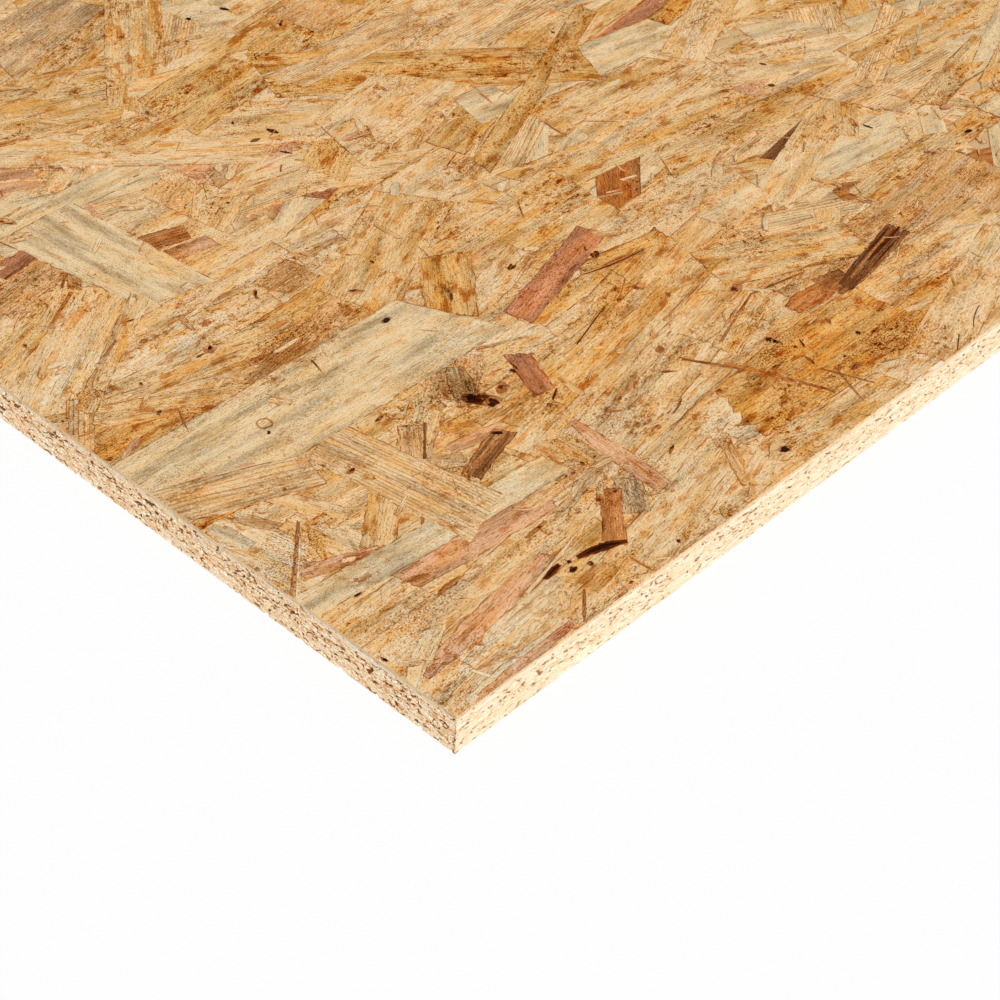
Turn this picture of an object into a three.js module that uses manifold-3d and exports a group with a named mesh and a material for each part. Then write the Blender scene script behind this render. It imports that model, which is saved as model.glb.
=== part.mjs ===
// One full sheet of oriented strand board (OSB) with four square sawn edges.
//
// Millimetres, +Z up. The sheet lies flat with its origin at the middle of the underside:
// X runs along its length, the way most of the face strands lie, Y across its width.
// The board is pressed and sawn as one piece, so it is one solid. What makes it a strand
// board and not a plain slab is in its edges: the saw lays open the voids where strands
// cross inside the board, and on its way out it tears chips off the lower arris.

import * as THREE from "three";
import { mergeVertices } from "three/addons/utils/BufferGeometryUtils.js";
import Module from "manifold-3d";

const wasm = await Module();
wasm.setup();

// The sheet, as it is sold.
const SHEET_LENGTH = 2440;
const SHEET_WIDTH = 1220;
const SHEET_THICKNESS = 18;

// The voids between crossing strands. They are long and flat, they lie between two strand
// layers, and the compact strands under each face have none.
const VOID_SPACING = 36;
const VOID_LENGTH = 24;
const VOID_HEIGHT = 1.3;
const VOID_DEPTH = 3;
const VOID_TAPER = 0.6; // how far a void closes up from its mouth to its end, as a share
const VOID_SIDES = 4; // a sliver with two pointed ends
const LAYER_HEIGHT = 1.6; // from one row of voids to the next
const FACE_LAYER = 3.4; // compact strands under each face

// The chips that the saw tears off the lower arris.
const CHIP_SPACING = 34;
const CHIP_LENGTH = 15;
const CHIP_HEIGHT = 1.2; // up the sawn edge
const CHIP_REACH = 1.5; // in along the underside

// No two voids or chips are alike: each size is this share of its nominal one, or more.
const SMALLEST_SHARE = 0.45;
const SEED = 1811;

// The strands are pale softwood, honey brown where resin has soaked in.
const BOARD_COLOR = 0xd9a677;
const BOARD_ROUGHNESS = 0.72;

/** A stream of numbers from 0 to 1 that is the same in every build. */
function repeatableNumbers(seed) {
  const modulus = 2 ** 32;
  const multiplier = 1664525;
  const increment = 1013904223;
  let state = seed;
  return () => {
    state = (state * multiplier + increment) % modulus;
    return state / modulus;
  };
}

/** A closed three.js geometry as a solid that can be cut. */
function toSolid(geometry) {
  const bare = geometry.clone();
  bare.deleteAttribute("normal");
  bare.deleteAttribute("uv");
  const merged = mergeVertices(bare);
  return new wasm.Manifold(
    new wasm.Mesh({
      numProp: 3,
      vertProperties: new Float32Array(merged.attributes.position.array),
      triVerts: new Uint32Array(merged.index.array),
    }),
  );
}

/** A cut solid as a three.js geometry. */
function toGeometry(solid) {
  const mesh = solid.getMesh();
  const geometry = new THREE.BufferGeometry();
  geometry.setAttribute("position", new THREE.BufferAttribute(mesh.vertProperties, mesh.numProp));
  geometry.setIndex(new THREE.BufferAttribute(mesh.triVerts, 1));
  geometry.computeVertexNormals();
  return geometry;
}

/** The blank sheet with its underside on the floor. */
function sheetBlank() {
  const blank = new THREE.BoxGeometry(SHEET_LENGTH, SHEET_WIDTH, SHEET_THICKNESS);
  return blank.translate(0, 0, SHEET_THICKNESS / 2);
}

/**
 * The four sawn edges. An edge's features are made as if it faced -Y, with X along it and
 * its face on the plane Y = 0, and are then turned about Z and moved out to the edge.
 */
function sawnEdges() {
  return [0, 1, 2, 3].map((quarterTurns) => {
    const isLongEdge = quarterTurns % 2 === 0;
    const outwards = isLongEdge ? SHEET_WIDTH / 2 : SHEET_LENGTH / 2;
    const seat = new THREE.Matrix4().makeRotationZ(quarterTurns * (Math.PI / 2));
    seat.multiply(new THREE.Matrix4().makeTranslation(0, -outwards, 0));
    return {
      run: isLongEdge ? SHEET_LENGTH : SHEET_WIDTH,
      number: repeatableNumbers(SEED + quarterTurns),
      seat,
    };
  });
}

/** The middles of features spread unevenly along an edge, clear of its two corners. */
function placesAlong(edge, spacing, featureLength) {
  const run = edge.run - 2 * featureLength;
  const count = Math.max(1, Math.floor(run / spacing));
  const step = run / count;
  return Array.from({ length: count }, (_, index) => {
    const jitter = edge.number() * (step - featureLength / 2);
    return -run / 2 + index * step + Math.max(0, jitter);
  });
}

/** A share between SMALLEST_SHARE and 1. */
function unevenShare(edge) {
  return THREE.MathUtils.lerp(SMALLEST_SHARE, 1, edge.number());
}

/** The heights of the planes between two strand layers, where voids can lie. */
function layerHeights() {
  const loose = SHEET_THICKNESS - 2 * FACE_LAYER;
  const count = Math.max(1, Math.floor(loose / LAYER_HEIGHT));
  const step = loose / count;
  return Array.from({ length: count }, (_, index) => FACE_LAYER + (index + 0.5) * step);
}

/**
 * The cutters for the voids that one sawn edge lays open. Each runs as far out of the edge
 * as into it, so that its section is the nominal one where it meets the sawn face.
 */
function edgeVoids(edge) {
  const heights = layerHeights();
  return placesAlong(edge, VOID_SPACING, VOID_LENGTH).map((x) => {
    const length = VOID_LENGTH * unevenShare(edge);
    const height = VOID_HEIGHT * unevenShare(edge);
    const depth = VOID_DEPTH * unevenShare(edge);
    const z = heights[Math.floor(edge.number() * heights.length)];
    const endRadius = (1 - VOID_TAPER) / 2;
    const outerRadius = (1 + VOID_TAPER) / 2;
    const hollow = new THREE.CylinderGeometry(endRadius, outerRadius, 2, VOID_SIDES);
    hollow.scale(length, depth, height);
    hollow.translate(x, 0, z);
    return hollow.applyMatrix4(edge.seat);
  });
}

/** The cutters for the chips torn off the lower arris of one sawn edge. */
function arrisChips(edge) {
  return placesAlong(edge, CHIP_SPACING, CHIP_LENGTH).map((x) => {
    const chip = new THREE.OctahedronGeometry(1);
    const length = CHIP_LENGTH * unevenShare(edge);
    const height = CHIP_HEIGHT * unevenShare(edge);
    const reach = CHIP_REACH * unevenShare(edge);
    chip.scale(length / 2, reach, height);
    chip.translate(x, 0, 0);
    return chip.applyMatrix4(edge.seat);
  });
}

/** The pressed and sawn board. */
function osbPanel() {
  const cutters = sawnEdges().flatMap((edge) => [...edgeVoids(edge), ...arrisChips(edge)]);
  const removed = wasm.Manifold.union(cutters.map(toSolid));
  return toGeometry(toSolid(sheetBlank()).subtract(removed));
}

const boardFinish = new THREE.MeshStandardMaterial({
  color: BOARD_COLOR,
  roughness: BOARD_ROUGHNESS,
  metalness: 0,
});

const panel = new THREE.Mesh(osbPanel(), boardFinish);
panel.name = "osb_panel";

const part = new THREE.Group();
part.add(panel);

export default part;
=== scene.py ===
# %% [markdown]
# # A sheet of oriented strand board
#
# Oriented strand board is made of softwood strands about a hand long and a finger wide.
# They are glued, laid in thick mats, pressed flat and sawn to size. This lesson dresses
# one sheet: a mat of strands on each face, sawn edges that show the layers inside, and a
# softwood finish that follows the grain of every single strand.
#
# The sheet's size comes from its packed construction model, the frame. Nothing here
# moves or resizes it: the strands are laid inside its box, in metres.

# %% Load the frame
import math
import random

import bmesh
import bpy
import numpy
from mathutils import Matrix, Vector


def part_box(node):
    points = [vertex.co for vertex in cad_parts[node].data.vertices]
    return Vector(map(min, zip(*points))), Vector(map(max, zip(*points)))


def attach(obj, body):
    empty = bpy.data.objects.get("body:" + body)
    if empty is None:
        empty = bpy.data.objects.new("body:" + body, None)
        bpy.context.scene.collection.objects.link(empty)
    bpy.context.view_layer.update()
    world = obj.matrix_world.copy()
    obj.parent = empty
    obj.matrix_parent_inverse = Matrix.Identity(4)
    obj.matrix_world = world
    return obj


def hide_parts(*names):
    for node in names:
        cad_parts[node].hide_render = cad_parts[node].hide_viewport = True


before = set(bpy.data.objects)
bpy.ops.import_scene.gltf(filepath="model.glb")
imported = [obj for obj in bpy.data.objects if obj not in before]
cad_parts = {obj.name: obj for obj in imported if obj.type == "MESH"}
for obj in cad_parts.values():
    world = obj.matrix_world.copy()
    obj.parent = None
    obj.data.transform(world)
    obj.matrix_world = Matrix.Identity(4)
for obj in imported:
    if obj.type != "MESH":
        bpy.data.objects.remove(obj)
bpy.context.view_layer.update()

(X_LOW, Y_LOW, FLOOR_Z), (X_HIGH, Y_HIGH, TOP_Z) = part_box("osb_panel")
MM = 0.001
SHEET = Vector((X_HIGH - X_LOW, Y_HIGH - Y_LOW, TOP_Z - FLOOR_Z))
print("sheet, mm:", [round(side / MM, 1) for side in SHEET])

# %% [markdown]
# ## The camera
#
# The camera looks down on the corner where the left short edge and the front long edge
# meet. It is placed by that corner, by its heading and by how far it looks down. A focal
# length is easier to set from the distance in pixels, so it is turned into millimetres
# on a 36 mm sensor here.

# %% Camera
NEAR_CORNER = Vector((X_LOW, Y_LOW, TOP_Z))
CAMERA_FROM_CORNER = Vector((-408.0, -372.8, 582.4)) * MM
HEADING, LOOK_DOWN, ROLL = (math.radians(angle) for angle in (41.37, 41.45, 3.21))
FOCAL_PIXELS, PICTURE_PIXELS, SENSOR_MM = 2473.4, 1000, 36


def aimed(heading, look_down, roll):
    """A camera's turning for a compass heading from +X, a dip below level and a roll."""
    level = Matrix.Rotation(heading - math.pi / 2, 4, "Z")
    dip = Matrix.Rotation(math.pi / 2 - look_down, 4, "X")
    return level @ dip @ Matrix.Rotation(roll, 4, "Z")


camera = bpy.data.objects.new("camera", bpy.data.cameras.new("camera"))
bpy.context.collection.objects.link(camera)
camera.data.sensor_width = SENSOR_MM
camera.data.lens = FOCAL_PIXELS / PICTURE_PIXELS * SENSOR_MM
camera.matrix_world = Matrix.Translation(NEAR_CORNER + CAMERA_FROM_CORNER) @ aimed(
    HEADING, LOOK_DOWN, ROLL
)
bpy.context.scene.camera = camera
print("camera at", [round(v, 3) for v in camera.location], "lens", round(camera.data.lens, 1))

# %% [markdown]
# ## Writing node trees as sums
#
# Both the shapes and the finishes below are node trees. A long tree is easier to read as
# arithmetic than as a list of links, so `Wire` stands for one output socket and turns
# each sign into a Math node. Every other node comes from `Tree.add`: its settings are
# made first, because they decide which sockets it has, and then its inputs are fed.

# %% Wire
class Wire:
    """An output socket that Python's signs join into Math nodes."""

    def __init__(self, tree, socket):
        self.tree, self.socket = tree, socket

    def math(self, operation, *others):
        """One Math node, with this socket first and the other values after it."""
        values = dict(enumerate((self, *others)))
        return self.tree.add("ShaderNodeMath", {"operation": operation}, values)

    def __add__(self, other):
        return self.math("ADD", other)

    def __sub__(self, other):
        return self.math("SUBTRACT", other)

    def __rsub__(self, other):
        return self.tree.add("ShaderNodeMath", {"operation": "SUBTRACT"}, {0: other, 1: self})

    def __mul__(self, other):
        return self.math("MULTIPLY", other)

    def __truediv__(self, other):
        return self.math("DIVIDE", other)

    def __gt__(self, other):
        return self.math("GREATER_THAN", other)

    def __lt__(self, other):
        return self.math("LESS_THAN", other)

    __radd__, __rmul__ = __add__, __mul__

    def smooth(self, low, high, most=1.0):
        """0 below low, most above high and a smooth slope between; low may be the greater."""
        sockets = {"Value": self, "From Min": low, "From Max": high, "To Max": most}
        settings = {"interpolation_type": "SMOOTHSTEP"}
        return self.tree.add("ShaderNodeMapRange", settings, sockets)

    def beside(self, output):
        """Another output socket of the same node, by its name or number."""
        return Wire(self.tree, self.socket.node.outputs[output])


print("Wire reads + - * / < > and smooth")

# %% Tree
class Tree:
    """A node tree with one method that makes any node."""

    def __init__(self, node_tree):
        self.nodes, self.links = node_tree.nodes, node_tree.links

    def add(self, kind, settings=None, inputs=None, output=0):
        """A node with its settings made and its inputs fed, as the Wire of one output."""
        node = self.nodes.new(kind)
        for name, value in (settings or {}).items():
            if name == "steps":
                self.set_steps(node.color_ramp, value)
            else:
                setattr(node, name, value)
        for name, value in (inputs or {}).items():
            self.feed(node.inputs[name], value)
        return Wire(self, node.outputs[output]) if node.outputs else node

    def feed(self, socket, value):
        """Links a Wire to a socket, or sets the socket to a plain value."""
        if isinstance(value, Wire):
            self.links.new(value.socket, socket)
        else:
            socket.default_value = value

    @staticmethod
    def set_steps(ramp, steps):
        """Fills a colour ramp with flat steps."""
        ramp.interpolation = "CONSTANT"
        while len(ramp.elements) < len(steps):
            ramp.elements.new(1)
        for element, (position, colour) in zip(ramp.elements, steps):
            element.position = position
            element.color = (*colour, 1)


print("Tree adds any node")

# %% [markdown]
# ## From a point to a strand
#
# Thousands of strands could be modelled one by one, but they all follow one rule: a thin
# blank with broken ends, turned its own way and pressed to its own depth. Geometry Nodes
# can apply such a rule to any number of points. Each point carries what its strand needs
# as attributes, and a prism with a many-sided outline is put on it and pushed into shape.
#
# The prism's round outline is first spread onto a square, so that u runs from -1 to 1
# along the strand and v from -1 to 1 across it. A hash of u, v and the strand's own
# number breaks the outline, and the lid and the base break alike, so the walls stay up.

# %% A shape tree with named inputs
FLOAT, INTEGER = "NodeSocketFloat", "NodeSocketInt"
MATERIAL, GEOMETRY = "NodeSocketMaterial", "NodeSocketGeometry"


def shape_tree(name, sockets):
    """A geometry node group with a shape in and out, and one named input for each socket."""
    group = bpy.data.node_groups.new(name, "GeometryNodeTree")
    group.interface.new_socket("Geometry", in_out="OUTPUT", socket_type=GEOMETRY)
    for label, kind in {"Geometry": GEOMETRY, **sockets}.items():
        group.interface.new_socket(label, in_out="INPUT", socket_type=kind)
    tree = Tree(group)
    given = {s.name: Wire(tree, s) for s in group.nodes.new("NodeGroupInput").outputs}
    return group, tree, given


def store(tree, shape, name, value, kind="FLOAT"):
    """The shape with one more attribute on its points."""
    settings = {"data_type": kind, "domain": "POINT"}
    sockets = {"Geometry": shape, "Name": name, "Value": value}
    return tree.add("GeometryNodeStoreNamedAttribute", settings, sockets)


def stored(tree, name, kind="FLOAT"):
    """An attribute that was stored before."""
    return tree.add("GeometryNodeInputNamedAttribute", {"data_type": kind}, {"Name": name})


def split(tree, vector):
    """The three numbers of a vector."""
    x = tree.add("ShaderNodeSeparateXYZ", {}, {"Vector": vector})
    return x, x.beside("Y"), x.beside("Z")


def joined(tree, x, y, z):
    """Three numbers as one vector."""
    return tree.add("ShaderNodeCombineXYZ", {}, {"X": x, "Y": y, "Z": z})


def noise(tree, place, detail=2.0, roughness=0.5):
    """Smooth noise from 0 to 1, with features about one unit of the place in size."""
    sockets = {"Vector": place, "Scale": 1.0, "Detail": detail, "Roughness": roughness}
    return tree.add("ShaderNodeTexNoise", {"noise_dimensions": "3D"}, sockets)


print("shape helpers ready")

# %% What a point knows about its strand
# Lengths are in metres and angles in radians. depth is how far the strand's middle lies
# under the face, rake and roll how much lower its tip and its side lie, cut how far its
# ends are out of square, split how deep they are broken, taper how much narrower its tip
# is, lens how pointed both ends are, and bow how far it bends sideways.
STRAND_FACTS = ("long", "wide", "turn", "depth", "rake", "roll", "wood", "seed")
STRAND_FORMS = ("cut_back", "cut_tip", "split", "taper", "lens", "bow")
print("facts of a strand:", ", ".join(STRAND_FACTS + STRAND_FORMS))

# %% A blank on every point
CORNER = 0.999  # a u or v past this is on the rim of the blank


def blanks_on_points(tree, given):
    """Puts a prism with a lid and a rim on every point, all as one mesh."""
    place = tree.add("GeometryNodeInputPosition")
    points = store(tree, given["Geometry"], "centre", place, "FLOAT_VECTOR")
    points = store(tree, points, "number", tree.add("GeometryNodeInputIndex"))
    round_blank = {"Vertices": given["Outline points"], "Radius": 1.0, "Depth": 2.0}
    blank = tree.add("GeometryNodeMeshCylinder", {"fill_type": "NGON"}, round_blank)
    x, y, w = split(tree, tree.add("GeometryNodeInputPosition"))
    to_square = x.math("ABSOLUTE").math("MAXIMUM", y.math("ABSOLUTE"))
    square = joined(tree, x / to_square, y / to_square, w)
    blank = store(tree, blank, "blank", square, "FLOAT_VECTOR")
    upward = split(tree, tree.add("GeometryNodeInputNormal"))[2]
    lid = {"Mesh": blank, "Selection": upward * given["Rimmed"] > 0.5, "Offset Scale": 0.0}
    blank = tree.add("GeometryNodeExtrudeMesh", {"mode": "FACES"}, {**lid, "Individual": False})
    blank = store(tree, blank, "rim", given["Rimmed"] * (1 - blank.beside("Top")))
    laid = tree.add("GeometryNodeInstanceOnPoints", {}, {"Points": points, "Instance": blank})
    return tree.add("GeometryNodeRealizeInstances", {}, {"Geometry": laid})


print("a blank's rim starts at", CORNER)

# %% A strand's torn outline
FRAYED_SIDE = 0.7 * MM  # how far single fibres are torn off the long sides
WANDER = 1.4 * MM  # how far the long sides stray, over lengths of WANDER_RUN
SLACK_SHARE = 0.3  # and on a narrow strand, as a share of half its width
WANDER_RUN = 16 * MM
FEWEST_WAVES = 1.8
# A strand's rim gets darker toward its outline, and at the outline painted shade and a dark joint.
RIM = 1.3 * MM  # the width of the rim that the finish darkens, where a strand has one
RIM_SHARE = 0.16  # and its width on a narrow strand, as a share of the strand's width
BREAK_RUN = 2.5 * MM  # from one splinter of a broken end to the next
LOWEST_SPLINTER, SPLINTER_SPREAD, HAIR_SPREAD = 0.3, 1.6, 0.4  # in splits of the strand
DEEPEST_BREAK = 1.25  # how far the sides end short of the tip, in splits
HASH_STEPS = (37.1, 53.7, 911.3)  # unlike numbers that keep the hashes apart
SIDE_STEP, END_STEP = 2, 3  # keep the noise of one side or end apart from the other's


def torn_outline(tree, given, fact, u, v):
    """How far along and across its strand each point of a blank ends up."""
    own = fact["seed"] * HASH_STEPS[2]
    place = joined(tree, u * HASH_STEPS[0], v * HASH_STEPS[1], own)
    hashed = tree.add("ShaderNodeTexWhiteNoise", {"noise_dimensions": "3D"}, {"Vector": place})
    at_end = u.math("ABSOLUTE") > CORNER
    at_side = v.math("ABSOLUTE") > CORNER
    half_long, half_wide = fact["long"] * 0.5, fact["wide"] * 0.5
    toward_tip = u * 0.5 + 0.5

    slack = (half_wide * SLACK_SHARE).math("MINIMUM", WANDER)
    waves = (half_long / WANDER_RUN).math("MAXIMUM", FEWEST_WAVES)
    bends = noise(tree, joined(tree, waves * u, v.math("SIGN") * SIDE_STEP, own))
    fray = hashed.math("POWER", 3.0) * slack.math("MINIMUM", FRAYED_SIDE) * at_side * (1 - at_end)
    across = v * (half_wide + (bends - 0.5) * slack * 2 - fray)
    across = across * (1 - fact["lens"] * u * u) * (1 - fact["taper"] * toward_tip)
    cut = fact["cut_back"] + (fact["cut_tip"] - fact["cut_back"]) * toward_tip
    splinters = noise(tree, joined(tree, across / BREAK_RUN, u * END_STEP, own))
    broken = (splinters - LOWEST_SPLINTER) * SPLINTER_SPREAD + hashed * HAIR_SPREAD
    broken = broken * at_end + DEEPEST_BREAK * (1 - at_end)
    along = u * (half_long - fact["split"] * broken) + cut * across

    rim_wide = (fact["wide"] * RIM_SHARE).math("MINIMUM", RIM)
    inset = rim_wide * (given["Rimmed"] - stored(tree, "rim"))
    return along * (1 - inset / half_long), across * (1 - inset / half_wide)


print("ends break every", round(BREAK_RUN / MM, 1), "mm")

# %% The strand tree
def build_strand_tree():
    """The tree that turns points with facts into pressed strands."""
    group, tree, given = shape_tree(
        "strands_on_points",
        {
            "Outline points": INTEGER,
            "Thickness": FLOAT,
            "Face height": FLOAT,
            "Facing": FLOAT,
            "Rimmed": FLOAT,
            "Finish": MATERIAL,
        },
    )
    strands = blanks_on_points(tree, given)
    u, v, w = split(tree, stored(tree, "blank", "FLOAT_VECTOR"))
    fact = {name: stored(tree, name) for name in (*STRAND_FACTS, *STRAND_FORMS)}
    along, across = torn_outline(tree, given, fact, u, v)

    grain = joined(tree, along, across, fact["seed"])
    strands = store(tree, strands, "grain", grain, "FLOAT_VECTOR")
    sizes = joined(tree, fact["long"], fact["wide"], fact["wood"])
    strands = store(tree, strands, "strand", sizes, "FLOAT_VECTOR")

    half_long, half_wide = fact["long"] * 0.5, fact["wide"] * 0.5
    slope = fact["rake"] * along / half_long + fact["roll"] * across / half_wide
    down = fact["depth"] + slope
    facing = given["Facing"]
    height = given["Face height"] - facing * down + (w - facing) * 0.5 * given["Thickness"]
    bent = across + fact["bow"] * (1 - u * u)
    cosine, sine = fact["turn"].math("COSINE"), fact["turn"].math("SINE")
    centre_x, centre_y, _ = split(tree, stored(tree, "centre", "FLOAT_VECTOR"))
    x = centre_x + cosine * along - sine * bent
    y = centre_y + sine * along + cosine * bent
    moved = {"Geometry": strands, "Position": joined(tree, x, y, height)}
    strands = tree.add("GeometryNodeSetPosition", {}, moved)
    finished = {"Geometry": strands, "Material": given["Finish"]}
    strands = tree.add("GeometryNodeSetMaterial", {}, finished)
    tree.add("NodeGroupOutput", {}, {"Geometry": strands})
    return group


strand_tree = build_strand_tree()
print("strand tree:", len(strand_tree.nodes), "nodes")

# %% [markdown]
# ## The woods in the mat
#
# A strand's colour tells what part of the log it came from: cream sapwood, honey
# earlywood, orange resinous wood, pink and red heartwood, grey or brown weathered wood,
# bark and pitch. Each kind has a share of the mat. The shares are laid end to end from 0 to 1,
# so that one number per strand, its `wood`, picks the kind.

# %% Woods
# name: share of the mat, colour (sRGB, 0 to 255), and from 0 to 1 how strong its year
# rings, its resin stains and its pores show
WOODS = {
    "cream": (0.15, (221, 196, 153), (0.15, 0.2, 0.35)),
    "straw": (0.28, (238, 208, 161), (0.35, 0.6, 0.7)),
    "honey": (0.23, (229, 196, 143), (0.45, 0.9, 0.9)),
    "ringed": (0.10, (229, 200, 153), (1.00, 0.4, 0.5)),
    "amber": (0.08, (220, 181, 119), (0.45, 1.0, 1.0)),
    "tan": (0.06, (219, 181, 130), (0.60, 0.6, 1.0)),
    "rose": (0.03, (215, 169, 128), (0.30, 0.5, 0.7)),
    "brick": (0.015, (190, 131, 93), (0.30, 0.4, 0.8)),
    "russet": (0.01, (186, 126, 72), (0.50, 0.8, 0.9)),
    "ash": (0.015, (203, 175, 135), (0.50, 0.4, 0.9)),
    "brown": (0.01, (176, 124, 74), (0.80, 0.5, 1.0)),
    "bark": (0.005, (138, 94, 58), (1.00, 0.3, 1.0)),
    "burnt": (0.01, (96, 42, 8), (0.60, 0.3, 1.0)),
    "pitch": (0.005, (52, 24, 9), (0.60, 0.3, 1.0)),
}


def linear(colour):
    """An sRGB colour from 0 to 255 as the linear one that shaders use, by the standard's curve."""
    shares = (level / 255 for level in colour)
    return tuple(s / 12.92 if s < 0.04045 else ((s + 0.055) / 1.055) ** 2.4 for s in shares)


CONTRAST = 1.3  # how much the finish deepens all its marks at the end
MOST_RED = 0.84  # the palest wood throws back hardly more red light than this


def toned(colour):
    """An sRGB colour as the linear one that comes out right after the finish's deepening."""
    return tuple(share ** (1 / CONTRAST) for share in linear(colour))


def wood_steps(value_of):
    """Colour-ramp steps that give value_of(row) over each wood's share."""
    steps, start = [], 0.0
    for row in WOODS.values():
        steps.append((start, value_of(row)))
        start += row[0]
    return steps


def wood_number(name):
    """The `wood` of a kind: the middle of its share."""
    shares = [row[0] for row in WOODS.values()]
    place = list(WOODS).index(name)
    return sum(shares[:place]) + shares[place] / 2


print("woods:", ", ".join(WOODS))

# %% [markdown]
# ## Scattering a mat
#
# The forming machine drops strands evenly but not in rows, and lines most of them up with
# the sheet's length. `Distribute Points on Faces` does the dropping, with a fixed seed.
# Random Value nodes then fill in what each strand needs. Three random numbers added up
# give the bell-shaped spread of turns that such a machine leaves.

# %% The scatter tree
HAND_LAID_REACH = (378 * MM, 314 * MM)  # where the listed strands end
FADE_FROM, FADE_TO = 1.6, 1.2  # and where the scattered ones sink, in shares of that reach
SCATTER_SIZES = (
    "Per square metre", "Shortest", "Longest", "Narrowest", "Widest", "Turn spread",
    "Shallowest", "Deepest", "Tilt", "Split", "Lens", "Bow", "First wood", "Last wood",
    "Sunk at corner",
)
OUT_OF_SQUARE = 0.7  # the slope of the most slanting end
TAPERS = (-0.15, 0.3)
LEAST_SPLIT, LEAST_LENS = 0.1, 0.5  # as shares of the largest
MOST_DRAWS = 100


def build_scatter_tree():
    """The tree that drops points on a face and draws the facts of a strand for each."""
    sockets = {**dict.fromkeys(SCATTER_SIZES, FLOAT), "Seed": INTEGER}
    group, tree, given = shape_tree("scattered_points", sockets)
    spread = {
        "Mesh": given["Geometry"],
        "Density": given["Per square metre"],
        "Seed": given["Seed"],
    }
    random_spread = {"distribute_method": "RANDOM"}
    shape = tree.add("GeometryNodeDistributePointsOnFaces", random_spread, spread)
    drawn = iter(range(MOST_DRAWS))

    def draw(low, high):
        """A random number for each point, unlike the ones drawn before."""
        limits = {2: low, 3: high, "Seed": given["Seed"] + next(drawn)}
        return tree.add("FunctionNodeRandomValue", {"data_type": "FLOAT"}, limits, 1)

    turn = draw(-1.0, 1.0) + draw(-1.0, 1.0) + draw(-1.0, 1.0)
    tilt = given["Tilt"]
    x, y, _ = split(tree, tree.add("GeometryNodeInputPosition"))
    off_corner = (x - X_LOW) / HAND_LAID_REACH[0] + (y - Y_LOW) / HAND_LAID_REACH[1]
    sunk = off_corner.smooth(FADE_FROM, FADE_TO) * given["Sunk at corner"]
    values = {
        "long": draw(given["Shortest"], given["Longest"]),
        "wide": draw(given["Narrowest"], given["Widest"]),
        "turn": turn * given["Turn spread"],
        "depth": draw(given["Shallowest"], given["Deepest"]) + tilt * 1.5 + sunk,
        "rake": (draw(0.0, 2.0) - 1.0) * tilt,
        "roll": (draw(0.0, 1.0) - 0.5) * tilt,
        "wood": draw(given["First wood"], given["Last wood"]),
        "seed": draw(0.0, 1.0),
        "cut_back": draw(-OUT_OF_SQUARE, OUT_OF_SQUARE),
        "cut_tip": draw(-OUT_OF_SQUARE, OUT_OF_SQUARE),
        "split": draw(LEAST_SPLIT, 1.0) * given["Split"],
        "taper": draw(*TAPERS),
        "lens": given["Lens"] * draw(LEAST_LENS, 1.0),
        "bow": (draw(0.0, 2.0) - 1.0) * given["Bow"],
    }
    for name, value in values.items():
        shape = store(tree, shape, name, value)
    tree.add("NodeGroupOutput", {}, {"Geometry": shape})
    return group


scatter_tree = build_scatter_tree()
print("scatter tree:", len(scatter_tree.nodes), "nodes")

# %% [markdown]
# ## From scattered points to a sawn mat
#
# A mat is laid wider than the sheet and then sawn to size together with it, so every
# strand that crosses the line ends in a clean cut. A Boolean could do that, but with a box
# for a cutter it is slow on thousands of strands, and one bisecting plane for each side
# does the same. The trees' result is made a plain mesh first.

# %% Growing a piece from the trees
OVERHANG = 30 * MM  # how far a mat is laid past the line it is sawn on


def link(name, data):
    """An object with this mesh or light in the scene."""
    piece = bpy.data.objects.new(name, data)
    bpy.context.collection.objects.link(piece)
    return piece


def flat_patch(name, low, high):
    """A single face from corner low to corner high."""
    mesh = bpy.data.meshes.new(name)
    (x0, y0), (x1, y1) = low, high
    mesh.from_pydata([(x0, y0, 0), (x1, y0, 0), (x1, y1, 0), (x0, y1, 0)], [], [(0, 1, 2, 3)])
    return link(name, mesh)


def grow(piece, group, values):
    """Adds a tree to a piece, with its inputs set by the sockets' identifiers."""
    modifier = piece.modifiers.new(group.name, "NODES")
    modifier.node_group = group
    for socket in group.interface.items_tree:
        if socket.in_out == "INPUT" and socket.name in values:
            modifier[socket.identifier] = values[socket.name]


def settle(piece):
    """Replaces a piece's mesh by what its trees make, and takes the trees off."""
    shape = piece.evaluated_get(bpy.context.evaluated_depsgraph_get())
    mesh = bpy.data.meshes.new_from_object(shape)
    piece.modifiers.clear()
    piece.data = mesh
    return mesh


print("mats overhang the sheet by", round(OVERHANG / MM), "mm")

# %% Sawing a mat
SAW_MARK = 0.14 * MM  # how far the sawn sides of the strands are out of line


def saw(mesh, low, high):
    """Cuts a mesh of closed strands to the box from low to high and closes the cuts."""
    shape = bmesh.new()
    shape.from_mesh(mesh)
    seeds = shape.verts.layers.float["seed"]
    for axis in range(3):
        for limit, outwards in ((low[axis], -1), (high[axis], 1)):
            if limit is None:
                continue
            point, normal = Vector((0, 0, 0)), Vector((0, 0, 0))
            point[axis], normal[axis] = limit, outwards
            everything = [*shape.verts, *shape.edges, *shape.faces]
            cut = bmesh.ops.bisect_plane(
                shape, geom=everything, plane_co=point, plane_no=normal, clear_outer=True
            )
            rim = [part for part in cut["geom_cut"] if isinstance(part, bmesh.types.BMEdge)]
            bmesh.ops.holes_fill(shape, edges=rim, sides=0)
            for corner in {corner for edge in rim for corner in edge.verts}:
                corner.co[axis] -= outwards * corner[seeds] * SAW_MARK
    shape.to_mesh(mesh)
    shape.free()


print("saw marks:", round(SAW_MARK / MM, 2), "mm")

# %% [markdown]
# ## Room for each strand on a baked picture
#
# A finish can be baked into a picture, and then every face needs room of its own on it.
# Blender's unwrapping would leave thousands of loose strands a few pixels each. Every strand
# knows how it lies on its blank, though, so it gets a cell of a grid and lies in it the
# same way: the lid in the middle and the walls folded outwards around it.

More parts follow.
